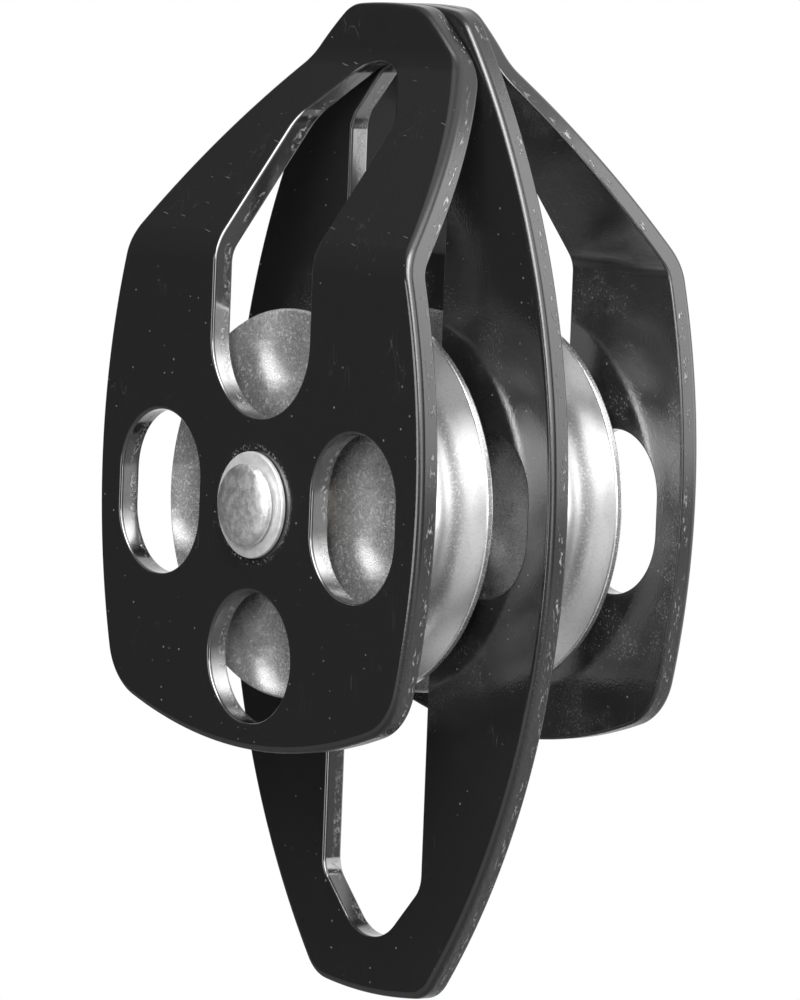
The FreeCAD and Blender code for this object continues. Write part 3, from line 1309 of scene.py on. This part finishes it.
def closed_mesh(
    work: bmesh.types.BMesh, name: str, normals: Sequence[Vector]
) -> bpy.types.Mesh:
    """Turn a mesh in work into a smooth mesh whose faces look outwards.

    Args:
        work: The mesh in work, which is freed.
        name: The mesh's name.
        normals: The outward normal at each vertex.

    Returns:
        The mesh.
    """
    work.verts.index_update()
    work.normal_update()
    inward = []
    for face in work.faces:
        outward = sum((normals[vertex.index] for vertex in face.verts), Vector())
        if face.normal.dot(outward) < 0:
            inward.append(face)
        face.smooth = True
    bmesh.ops.reverse_faces(work, faces=inward)
    mesh = bpy.data.meshes.new(name)
    work.to_mesh(mesh)
    work.free()
    return mesh


@dataclass(frozen=True)
class SheetMesh:
    """Builds a stamped plate from its outlines: rolled rims, upright walls, flat faces.

    The rims are radii, and margin is the width of the ring of small faces beside each rim.
    """

    section: FlatSection | BentSection
    outlines: tuple[Belt, ...]
    outer_rim: float = 0.95
    hole_rim: float = 0.45
    inner_rim: float = 0.40
    rim_steps: int = 5
    wall_steps: int = 6
    margin: float = 0.30
    cut_reach: float = 1e-5

    def rows(self, rim: float) -> list[tuple[float, float, float, float]]:
        """Return the rows of the edge as inset, depth, share of wall and facing.

        The share is the wall's part in the normal. Facing is 1 on the outer half, -1 on
        the inner one and tells which face the rest of the normal comes from.

        Args:
            rim: The radius of the rounding at the outer face.

        Returns:
            The rows from the outer face to the inner one.
        """
        rows = [(rim + self.margin, 0.0, 0.0, 1.0)]
        for step in range(self.rim_steps + 1):
            angle = math.pi / 2 * step / self.rim_steps
            inset = rim * (1 - math.sin(angle))
            rows.append((inset, rim * (1 - math.cos(angle)), math.sin(angle), 1.0))
        low, high = rim, SHEET_THICKNESS - self.inner_rim
        for step in range(1, self.wall_steps):
            rows.append((0.0, low + (high - low) * step / self.wall_steps, 1.0, 1.0))
        for step in range(self.rim_steps, -1, -1):
            angle = math.pi / 2 * step / self.rim_steps
            inset = self.inner_rim * (1 - math.sin(angle))
            depth = SHEET_THICKNESS - self.inner_rim * (1 - math.cos(angle))
            rows.append((inset, depth, math.sin(angle), -1.0))
        rows.append((self.inner_rim + self.margin, SHEET_THICKNESS, 0.0, -1.0))
        return rows

    def build(self, name: str) -> bpy.types.Mesh:
        """Return the plate's mesh, with the vertex numbers that the paint reads.

        Args:
            name: The mesh's name.

        Returns:
            The mesh in metres.
        """
        work = bmesh.new()
        layers = {
            key: work.verts.layers.float.new(key)
            for key in ("wall", "rim", "depth", "torn", "facing", "out_x", "out_z")
        }
        ends: tuple[list[bmesh.types.BMEdge], list[bmesh.types.BMEdge]] = ([], [])
        for belt in self.outlines:
            rows = self.rows(self.hole_rim if belt.hole else self.outer_rim)
            rings = [self.ring(work, layers, belt, row) for row in rows]
            count = len(rings[0])
            for upper, lower in zip(rings, rings[1:]):
                for index in range(count):
                    after = (index + 1) % count
                    work.faces.new((upper[index], upper[after], lower[after], lower[index]))
            for end, ring in zip(ends, (rings[0], rings[-1])):
                end.extend(work.edges.get((ring[i - 1], ring[i])) for i in range(count))
        for end in ends:
            bmesh.ops.triangle_fill(work, use_beauty=True, use_dissolve=False, edges=end)
        for height in self.section.cuts:
            bmesh.ops.bisect_plane(
                work,
                geom=work.verts[:] + work.edges[:] + work.faces[:],
                dist=self.cut_reach,
                plane_co=(0, 0, height),
                plane_no=(0, 0, 1),
            )
        for face in work.faces:
            share = sum(vertex[layers["wall"]] for vertex in face.verts) / len(face.verts)
            face.material_index = int(share > 0.5)
        normals = [self.settle(vertex, layers) for vertex in work.verts]
        mesh = closed_mesh(work, name, normals)
        mesh.normals_split_custom_set_from_vertices(normals)
        return mesh

    def ring(
        self,
        work: bmesh.types.BMesh,
        layers: dict[str, bmesh.types.BMLayerItem],
        belt: Belt,
        row: tuple[float, float, float, float],
    ) -> list[bmesh.types.BMVert]:
        """Return the vertices of one row of the edge along an outline.

        Args:
            work: The mesh in work.
            layers: The vertex layers by name.
            belt: The outline.
            row: The row's inset, depth, share of wall and facing.

        Returns:
            The row's vertices, in millimetres, the depth still in Y.
        """
        inset, depth, wall, facing = row
        way = -1.0 if belt.hole else 1.0
        shift = -inset * way
        made = []
        for point in belt.sample():
            vertex = work.verts.new(
                (point.x + point.out_x * shift, depth, point.z + point.out_z * shift)
            )
            held = {
                "wall": wall,
                "rim": 1 - abs(2 * wall - 1),
                "depth": depth,
                "torn": float(belt.hole),
                "facing": facing,
                "out_x": point.out_x * way,
                "out_z": point.out_z * way,
            }
            for key, number in held.items():
                vertex[layers[key]] = number
            made.append(vertex)
        return made

    def settle(
        self, vertex: bmesh.types.BMVert, layers: dict[str, bmesh.types.BMLayerItem]
    ) -> Vector:
        """Move a vertex from its depth to its place in the section.

        Args:
            vertex: The vertex, in millimetres, with its depth in Y.
            layers: The vertex layers by name.

        Returns:
            The normal there.
        """
        depth, z = vertex[layers["depth"]], vertex.co.z
        outer, outer_slope = self.section.outer(z)
        inner, inner_slope = self.section.inner(z)
        share = depth / SHEET_THICKNESS
        vertex.co = Vector((vertex.co.x, outer + (inner - outer) * share, z)) * MM
        facing = vertex[layers["facing"]]
        out = math.copysign(1.0, outer - inner)
        slope = outer_slope if facing > 0 else inner_slope
        way = out if facing > 0 else -out
        face = Vector((0.0, 1.0, -slope)).normalized() * way
        wall = vertex[layers["wall"]]
        edge = Vector((vertex[layers["out_x"]], 0.0, vertex[layers["out_z"]]))
        return (edge * wall + face * math.sqrt(max(0.0, 1 - wall * wall))).normalized()


@dataclass(frozen=True)
class ProfilePoint:
    """A point of a turned profile with its normal, as radius and Y."""

    radius: float
    y: float
    out_radius: float
    out_y: float
    tag: float = 0.0


@dataclass(frozen=True)
class Corner:
    """A corner of a turned profile, rounded by its own radius.

    tag goes to the mesh for the run that follows the corner.
    """

    radius: float
    y: float
    rounding: float = 0.0
    tag: float = 0.0

    @property
    def place(self) -> Vector:
        """Return the corner's place as radius and Y."""
        return Vector((self.radius, self.y))


@dataclass(frozen=True)
class TurnedMesh:
    """Builds a ring or a solid of revolution about the axle from rounded corners.

    The corners run so that the material is on their left, radius to the right and Y up.
    """

    corners: tuple[Corner, ...]
    segments: int
    closed: bool = True
    arc_step: float = 0.10
    arc_length: float = 0.25
    longest_run: float = 0.8

    def profile(self) -> list[ProfilePoint]:
        """Return the sampled profile with its normals.

        Returns:
            The points in the order of the corners.
        """
        count = len(self.corners)
        points: list[ProfilePoint] = []
        for index, corner in enumerate(self.corners):
            before = self.corners[index - 1]
            after = self.corners[(index + 1) % count]
            back = (before.place - corner.place).normalized()
            ahead = (after.place - corner.place).normalized()
            if not self.closed and index in (0, count - 1):
                run = ahead if index == 0 else -back
                self.add(points, corner.place, Vector((run.y, -run.x)), corner.tag)
            else:
                self.add_arc(points, corner, back, ahead, before.tag)
        if self.closed:
            self.add(points, Vector((points[0].radius, points[0].y)))
        return points

    def add_arc(
        self,
        points: list[ProfilePoint],
        corner: Corner,
        back: Vector,
        ahead: Vector,
        tag_before: float,
    ) -> None:
        """Add the arc that rounds a corner.

        Args:
            points: The points so far.
            corner: The corner.
            back: The direction to the corner before.
            ahead: The direction to the next corner.
            tag_before: The mark of the run that ends here.
        """
        half = back.angle(ahead) / 2
        start = corner.place + back * (corner.rounding / math.tan(half))
        bisector = (back + ahead).normalized()
        centre = corner.place + bisector * (corner.rounding / math.sin(half))
        first = Vector((-back.y, back.x))
        turn = first.angle_signed(Vector((ahead.y, -ahead.x)))
        length_steps = abs(turn) * corner.rounding / self.arc_length
        steps = max(3, math.ceil(abs(turn) / self.arc_step), math.ceil(length_steps))
        bulge = 1.0 if (start - centre).dot(first) > 0 else -1.0
        for step in range(steps + 1):
            normal = first.copy()
            normal.rotate(Matrix.Rotation(-turn * step / steps, 2))
            tag = tag_before if step < steps / 2 else corner.tag
            self.add(points, centre + normal * corner.rounding * bulge, normal, tag)

    def add(
        self,
        points: list[ProfilePoint],
        new: Vector,
        normal: Vector | None = None,
        tag: float = 0.0,
    ) -> None:
        """Add a profile point, and points along the run that leads to it.

        Args:
            points: The points so far.
            new: The next point as radius and Y.
            normal: Its normal, or None to run back to the first point only.
            tag: The mark of the new point.
        """
        if points:
            last = points[-1]
            gap = math.hypot(new.x - last.radius, new.y - last.y)
            steps = math.ceil(gap / self.longest_run)
            for step in range(1, steps):
                share = step / steps
                radius = last.radius + (new.x - last.radius) * share
                y = last.y + (new.y - last.y) * share
                points.append(ProfilePoint(radius, y, last.out_radius, last.out_y, last.tag))
        if normal is not None:
            points.append(ProfilePoint(new.x, new.y, normal.x, normal.y, tag))

    def build(self, name: str, dent: float = 0.0, dent_size: float = 1.5) -> bpy.types.Mesh:
        """Return the turned mesh.

        Args:
            name: The mesh's name.
            dent: The depth of a slight unevenness in millimetres.
            dent_size: The size of its waves in millimetres.

        Returns:
            The mesh in metres, with the profile's tag and length for the finish.
        """
        profile = self.profile()
        work = bmesh.new()
        groove = work.verts.layers.float.new("groove")
        turn = work.verts.layers.float.new("turn")
        rings: list[list[bmesh.types.BMVert]] = []
        normals: list[Vector] = []
        length = 0.0
        for index, point in enumerate(profile):
            if index:
                last = profile[index - 1]
                length += math.hypot(point.radius - last.radius, point.y - last.y)
            ring = []
            for step in range(1 if point.radius < TINY else self.segments):
                angle = math.tau * step / self.segments
                spoke = Vector((math.cos(angle), 0.0, math.sin(angle)))
                normal = spoke * point.out_radius + Vector((0.0, point.out_y, 0.0))
                place = spoke * point.radius + Vector((0.0, point.y, 0.0))
                if dent:
                    depth = 0.5 + 0.5 * relief_noise.noise(place / dent_size)
                    place -= normal * dent * depth
                vertex = work.verts.new(place * MM)
                vertex[groove] = point.tag
                vertex[turn] = length
                ring.append(vertex)
                normals.append(normal)
            rings.append(ring)
        pairs = list(zip(rings, rings[1:]))
        if self.closed:
            pairs.append((rings[-1], rings[0]))
        for lower, upper in pairs:
            self.band(work, lower, upper)
        mesh = closed_mesh(work, name, normals)
        if not dent:
            mesh.normals_split_custom_set_from_vertices(normals)
        return mesh

    def band(
        self,
        work: bmesh.types.BMesh,
        lower: list[bmesh.types.BMVert],
        upper: list[bmesh.types.BMVert],
    ) -> None:
        """Add the faces between two rings, of which one may be a single point.

        Args:
            work: The mesh in work.
            lower: The first ring's vertices.
            upper: The next ring's vertices.
        """
        for step in range(self.segments):
            after = (step + 1) % self.segments
            corners = [lower[step % len(lower)], lower[after % len(lower)]]
            corners += [upper[after % len(upper)], upper[step % len(upper)]]
            work.faces.new(list(dict.fromkeys(corners)))


# The pulley's pieces


@dataclass(frozen=True)
class CentrePlate:
    """The flat middle plate with a long eye at each end."""

    pattern: PlatePattern = PlatePattern()

    def build(self, paint: Sequence[Finish]) -> None:
        """Build and dress the plate.

        Args:
            paint: The finishes of its faces and of its sheared edges.
        """
        pattern = self.pattern
        outlines = (
            pattern.centre_outline(),
            pattern.slot(1),
            pattern.slot(-1),
            pattern.side_hole(1),
            pattern.side_hole(-1),
            pattern.axle_hole(),
        )
        name = "centre_plate_painted"
        section = FlatSection(-SHEET_THICKNESS / 2, SHEET_THICKNESS / 2)
        mesh = SheetMesh(section, outlines).build(name)
        finish_object(mesh, name, paint, "root", "centre_plate")


@dataclass(frozen=True)
class SidePlate:
    """A bent side plate, which swings round the axle."""

    side: Side
    pattern: PlatePattern = PlatePattern()
    section: BentSection = BentSection()

    def build(self, paint: Sequence[Finish]) -> None:
        """Build and dress the plate: made as the rear one, and mirrored for the front.

        Args:
            paint: The finishes of its faces and of its sheared edges.
        """
        pattern = self.pattern
        outlines = (
            pattern.side_outline(),
            pattern.slot(1),
            pattern.side_hole(1),
            pattern.side_hole(-1),
            pattern.foot_hole(),
            pattern.axle_hole(),
        )
        node = f"{self.side.label}_side_plate"
        name = f"{node}_painted"
        mesh = SheetMesh(self.section, outlines).build(name)
        if self.side is Side.FRONT:
            turn_to_front(mesh)
        finish_object(mesh, name, paint, f"{self.side.label}_plate", node)


def turn_to_front(mesh: bpy.types.Mesh) -> None:
    """Mirror a mesh across the centre plate, its own normals included.

    Args:
        mesh: The mesh, in metres.
    """
    mirror = Matrix.Scale(-1, 4, (0, 1, 0))
    normals = {
        loop.vertex_index: mirror @ Vector(item.vector)
        for loop, item in zip(mesh.loops, mesh.corner_normals)
    }
    mesh.transform(mirror)
    mesh.flip_normals()
    mesh.normals_split_custom_set_from_vertices(
        [normals[index] for index in range(len(mesh.vertices))]
    )


@dataclass(frozen=True)
class Sheave:
    """A turned alloy sheave with a round rope groove."""

    side: Side
    half_width: float = 6.95
    radius: float = 25.0
    bore_radius: float = 7.0
    root_radius: float = 17.0
    groove_radius: float = 5.5
    draft_deg: float = 8.0
    bore_rounding: float = 0.2
    edge_rounding: float = 0.35
    mouth_rounding: float = 0.3
    segments: int = 256

    def build(self, alloy: Finish) -> None:
        """Build and dress the sheave.

        Args:
            alloy: Its finish.
        """
        draft = math.radians(self.draft_deg)
        apex = self.root_radius + self.groove_radius * (1 - 1 / math.sin(draft))
        mouth = (self.radius - apex) * math.tan(draft)
        half = self.half_width
        corners = (
            Corner(self.bore_radius, -half, self.bore_rounding),
            Corner(self.radius, -half, self.edge_rounding),
            Corner(self.radius, -mouth, self.mouth_rounding, 1.0),
            Corner(apex, 0.0, self.groove_radius, 1.0),
            Corner(self.radius, mouth, self.mouth_rounding),
            Corner(self.radius, half, self.edge_rounding),
            Corner(self.bore_radius, half, self.bore_rounding),
        )
        middle = self.side.value * SHEAVE_MID_Y
        placed = tuple(replace(corner, y=corner.y + middle) for corner in corners)
        node = f"{self.side.label}_sheave"
        name = f"{node}_turned"
        mesh = TurnedMesh(placed, self.segments).build(name)
        finish_object(mesh, name, [alloy], f"{self.side.label}_wheel", node)


@dataclass(frozen=True)
class Axle:
    """The riveted axle with a low dome at each end."""

    radius: float = 4.0
    head_radius: float = 5.3
    seat_y: float = 23.66
    under_y: float = 24.01
    rim_y: float = 24.36
    crown_y: float = 25.66
    crown_steps: int = 16
    crown_fullness: float = 2.5
    crown_rounding: float = 0.2
    rim_rounding: float = 0.1
    under_rounding: float = 0.12
    seat_rounding: float = 0.1
    dent: float = 0.05
    segments: int = 144

    def build(self, steel: Finish) -> None:
        """Build and dress the axle.

        Args:
            steel: Its finish.
        """
        rise = self.crown_y - self.rim_y
        power = 2 / self.crown_fullness
        half = [Corner(0.0, self.crown_y)]
        for step in range(1, self.crown_steps):
            angle = math.pi / 2 * step / self.crown_steps
            radius = self.head_radius * math.sin(angle) ** power
            y = self.rim_y + rise * math.cos(angle) ** power
            half.append(Corner(radius, y, self.crown_rounding))
        half += [
            Corner(self.head_radius, self.rim_y, self.rim_rounding),
            Corner(self.head_radius, self.under_y, self.under_rounding),
            Corner(self.radius, self.seat_y, self.seat_rounding),
        ]
        front = [replace(corner, y=-corner.y) for corner in half]
        turned = TurnedMesh((*front, *reversed(half)), self.segments, closed=False)
        mesh = turned.build("axle_riveted", self.dent)
        finish_object(mesh, "axle_riveted", [steel], "root", "axle")


@dataclass(frozen=True)
class FlatRing:
    """A flat ring on the axle: a washer or a spacer."""

    node: str
    inner_y: float
    outer_y: float
    outer_radius: float
    rounding: float
    bore_radius: float = 4.02
    bore_rounding: float = 0.08
    segments: int = 128

    def build(self, finish: Finish) -> None:
        """Build and dress the ring.

        Args:
            finish: Its finish.
        """
        low, high = sorted((self.inner_y, self.outer_y))
        corners = (
            Corner(self.bore_radius, low, self.bore_rounding),
            Corner(self.outer_radius, low, self.rounding),
            Corner(self.outer_radius, high, self.rounding),
            Corner(self.bore_radius, high, self.bore_rounding),
        )
        name = f"{self.node}_turned"
        mesh = TurnedMesh(corners, self.segments).build(name)
        finish_object(mesh, name, [finish], "root", self.node)


@dataclass(frozen=True)
class AxleRings:
    """The washer and the two spacers on the axle at one side of the centre plate."""

    side: Side
    washer_y: Span = (22.96, 23.66)
    washer_radius: float = 6.83
    washer_rounding: float = 0.22
    inner_spacer_y: Span = (1.5, 3.65)
    outer_spacer_y: Span = (17.75, 19.84)
    spacer_radius: float = 8.4
    spacer_rounding: float = 0.25

    def build(self, zinc: Finish, bronze: Finish) -> None:
        """Build and dress the rings.

        Args:
            zinc: The washer's finish.
            bronze: The spacers' finish.
        """
        washer = (self.washer_radius, self.washer_rounding)
        spacer = (self.spacer_radius, self.spacer_rounding)
        for kind, ends, shape, finish in (
            ("washer", self.washer_y, washer, zinc),
            ("inner_spacer", self.inner_spacer_y, spacer, bronze),
            ("outer_spacer", self.outer_spacer_y, spacer, bronze),
        ):
            inner_y, outer_y = (self.side.value * y for y in ends)
            FlatRing(f"{self.side.label}_{kind}", inner_y, outer_y, *shape).build(finish)


@dataclass(frozen=True)
class NeedleBearing:
    """The hidden bearing of a sheave, which keeps its CAD solids."""

    side: Side
    parts: tuple[str, ...] = ("sleeve", "shell", "cage", "needles")

    def dress(self, nodes: dict[str, bpy.types.Object], steel: Finish) -> None:
        """Give the bearing's CAD solids their finish.

        Args:
            nodes: The CAD nodes by name.
            steel: The finish.
        """
        for part in self.parts:
            name = f"{self.side.label}_bearing_{part}"
            for held in nodes[name].material_slots:
                held.material = steel.material()
            LOG.info("%s: CAD solid, dressed with %s", name, steel.name)


# The studio


@dataclass(frozen=True)
class Softbox:
    """A soft lamp that looks at the pulley, in metres."""

    name: str
    place: Triple
    width: float
    height: float
    radiance: float

    def build(self) -> None:
        """Add the lamp."""
        light = bpy.data.lights.new(self.name, "AREA")
        light.shape = "RECTANGLE"
        light.size = self.width
        light.size_y = self.height
        light.energy = self.radiance * math.pi * self.width * self.height
        lamp = bpy.data.objects.new(self.name, light)
        lamp.location = self.place
        lamp.rotation_mode = "QUATERNION"
        lamp.rotation_quaternion = Vector(self.place).to_track_quat("Z", "Y")
        bpy.context.scene.collection.objects.link(lamp)


@dataclass(frozen=True)
class Studio:
    """Camera, lamps, floor and surroundings.

    The camera's distance, shifts and sensor are in millimetres, lamps and floor in metres.
    The pulley's gloss shows a white back, a dim room in front, a paler ceiling and a dark
    screen at the right. glow is the floor's white in that gloss, dimmed under the pulley as a
    painted shadow, and fill the world's light.
    """

    azimuth_deg: float = 51.3555
    elevation_deg: float = 4.738
    roll_deg: float = 2.1964
    focal_pixels: float = 7109.87
    image_height: int = 1000
    shift_right: float = -0.7342
    shift_up: float = -0.1201
    distance: float = 921.18
    sensor: float = 36.0
    clip: Span = (0.01, 100.0)
    floor_z: float = -0.30
    floor_radius: float = 1.2
    floor_segments: int = 96
    floor_grey: float = 0.18
    floor_roughness: float = 0.9
    floor_white: float = 0.72
    floor_fade: float = 0.4
    glow: float = 0.95
    glow_side: Span = (-0.05, 0.15)
    # Within this reach of the pulley the floor's glow is dimmed as a painted shadow.
    painted_shadow_reach: Span = (0.08, 0.30)
    shadow_glow_level: float = 0.4
    back_lean: float = 0.5
    back_side: Span = (-0.35, 0.35)
    fill: float = 0.10
    room: float = 0.03
    ceiling: float = 0.5
    ceiling_z: Span = (0.55, 0.9)
    screen: float = 0.90
    screen_way: Triple = (0.94, 0.33, 0.04)
    screen_edge: Span = (0.86, 0.95)
    lamps: tuple[Softbox, ...] = (
        Softbox("key_softbox", (0.66, -0.86, 0.90), 1.15, 1.05, 3.4),
        Softbox("key_core", (0.72, -0.86, 0.74), 0.46, 1.45, 9.0),
        Softbox("side_softbox", (1.20, -0.30, 0.64), 0.75, 0.90, 1.5),
        Softbox("edge_softbox", (1.20, -0.68, 0.06), 0.45, 0.62, 3.2),
        Softbox("front_softbox", (-0.08, -1.40, -0.02), 0.80, 0.55, 2.4),
        Softbox("top_softbox", (0.57, -0.40, 1.21), 0.90, 0.80, 2.2),
        Softbox("back_softbox", (0.84, 0.98, 0.50), 1.10, 1.20, 2.6),
    )

    def build(self) -> None:
        """Set the studio up."""
        self.add_camera()
        for lamp in self.lamps:
            lamp.build()
        self.add_floor()
        self.add_world()
        bpy.context.scene.view_settings.view_transform = "Standard"

    def add_camera(self) -> None:
        """Add the camera at the photograph's viewing angle."""
        azimuth, elevation = math.radians(self.azimuth_deg), math.radians(self.elevation_deg)
        roll = math.radians(self.roll_deg)
        back = Vector(
            (
                math.sin(azimuth) * math.cos(elevation),
                -math.cos(azimuth) * math.cos(elevation),
                math.sin(elevation),
            )
        )
        level = Vector((math.cos(azimuth), math.sin(azimuth), 0.0))
        upright = level.cross(-back)
        right = level * math.cos(roll) + upright * math.sin(roll)
        up = upright * math.cos(roll) - level * math.sin(roll)
        data = bpy.data.cameras.new("camera")
        data.sensor_fit = "VERTICAL"
        data.sensor_height = self.sensor
        data.sensor_width = self.sensor
        data.lens = self.sensor * self.focal_pixels / self.image_height
        data.clip_start, data.clip_end = self.clip
        camera = bpy.data.objects.new("camera", data)
        turn = Matrix((right, up, back)).transposed().to_4x4()
        spot = back * self.distance - right * self.shift_right - up * self.shift_up
        camera.matrix_world = Matrix.Translation(spot * MM) @ turn
        bpy.context.scene.collection.objects.link(camera)
        bpy.context.scene.camera = camera

    def add_floor(self) -> None:
        """Add the pale floor, well below the hanging pulley."""
        work = bmesh.new()
        bmesh.ops.create_circle(
            work, cap_ends=True, segments=self.floor_segments, radius=self.floor_radius
        )
        mesh = bpy.data.meshes.new("floor")
        work.to_mesh(mesh)
        work.free()
        floor = bpy.data.objects.new("floor", mesh)
        floor.location.z = self.floor_z
        bpy.context.scene.collection.objects.link(floor)
        mesh.materials.append(self.floor_finish())

    def floor_finish(self) -> bpy.types.Material:
        """Return the floor's material: white to look at, a plain grey for the light, and a
        painted shadow in its gloss under the pulley.

        Returns:
            The material.
        """
        made = bpy.data.materials.new("pale_floor")
        made.use_nodes = True
        sheet = NodeSheet(made.node_tree)
        x, y, _ = sheet.parts(sheet.node("ShaderNodeTexCoord").outputs["Object"])
        reach = from_middle(x, y)
        far = reach.ramp(self.floor_radius * self.floor_fade, self.floor_radius)
        # Painted shadow: the floor's white in gloss is dimmed round the spot under the pulley.
        near = reach.ramp(*self.painted_shadow_reach).between(self.shadow_glow_level, 1.0)
        glow = self.glow * (y + self.back_lean * x).ramp(*self.glow_side) * near
        share = self.background_rays(sheet) * far.between(self.floor_white, 1.0)
        share = share * (1 - sheet.ray("Glossy") * (1 - glow))
        lit_inputs = {"Base Color": grey(self.floor_grey), "Roughness": self.floor_roughness}
        lit = sheet.node("ShaderNodeBsdfPrincipled", None, lit_inputs)
        white_inputs = {"Color": grey(1.0), "Strength": 1.0}
        white = sheet.node("ShaderNodeEmission", None, white_inputs)
        mix_inputs = {0: share, 1: lit.outputs[0], 2: white.outputs[0]}
        mix = sheet.node("ShaderNodeMixShader", None, mix_inputs)
        sheet.output("ShaderNodeOutputMaterial", mix.outputs[0])
        return made

    @staticmethod
    def background_rays(sheet: NodeSheet) -> Value:
        """Return 1 for rays that show the background as it is, and 0 for rays of light."""
        return sheet.ray("Camera").larger(sheet.ray("Glossy")).larger(sheet.ray("Transmission"))

    def add_world(self) -> None:
        """Add the surroundings: white behind the pulley, a dim room at the front left."""
        world = bpy.data.worlds.new("studio")
        world.use_nodes = True
        bpy.context.scene.world = world
        sheet = NodeSheet(world.node_tree)
        x, y, z = sheet.parts(sheet.node("ShaderNodeTexCoord").outputs["Generated"])
        behind = (y + self.back_lean * x).ramp(*self.back_side)
        ceiling = z.ramp(*self.ceiling_z) * self.ceiling
        screen_x, screen_y, screen_z = self.screen_way
        screen = (screen_x * x + screen_y * y + screen_z * z).ramp(*self.screen_edge)
        room = self.room + (1 - self.room) * behind.larger(ceiling) * (1 - self.screen * screen)
        shown = 1 - sheet.ray("Glossy") * (1 - room)
        fill, white = (
            sheet.node("ShaderNodeBackground", None, {"Color": grey(1.0), "Strength": strength})
            for strength in (self.fill, shown)
        )
        mix_inputs = {0: self.background_rays(sheet), 1: fill.outputs[0], 2: white.outputs[0]}
        mix = sheet.node("ShaderNodeMixShader", None, mix_inputs)
        sheet.output("ShaderNodeOutputWorld", mix.outputs[0])


def main() -> None:
    """Load the frame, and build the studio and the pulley's pieces."""
    logging.basicConfig(level=logging.INFO, format="%(message)s")
    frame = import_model()
    paint, alloy, rivet = (BlackPaint(), PaintedEdge()), TurnedAlloy(), RivetSteel()
    zinc, bearing, bronze = WasherSteel(), BearingSteel(), SpacerBronze()
    Studio().build()
    CentrePlate().build(paint)
    Axle().build(rivet)
    for side in Side:
        SidePlate(side).build(paint)
        Sheave(side).build(alloy)
        AxleRings(side).build(zinc, bronze)
        NeedleBearing(side).dress(frame["nodes"], bearing)


if __name__ == "__main__":
    main()
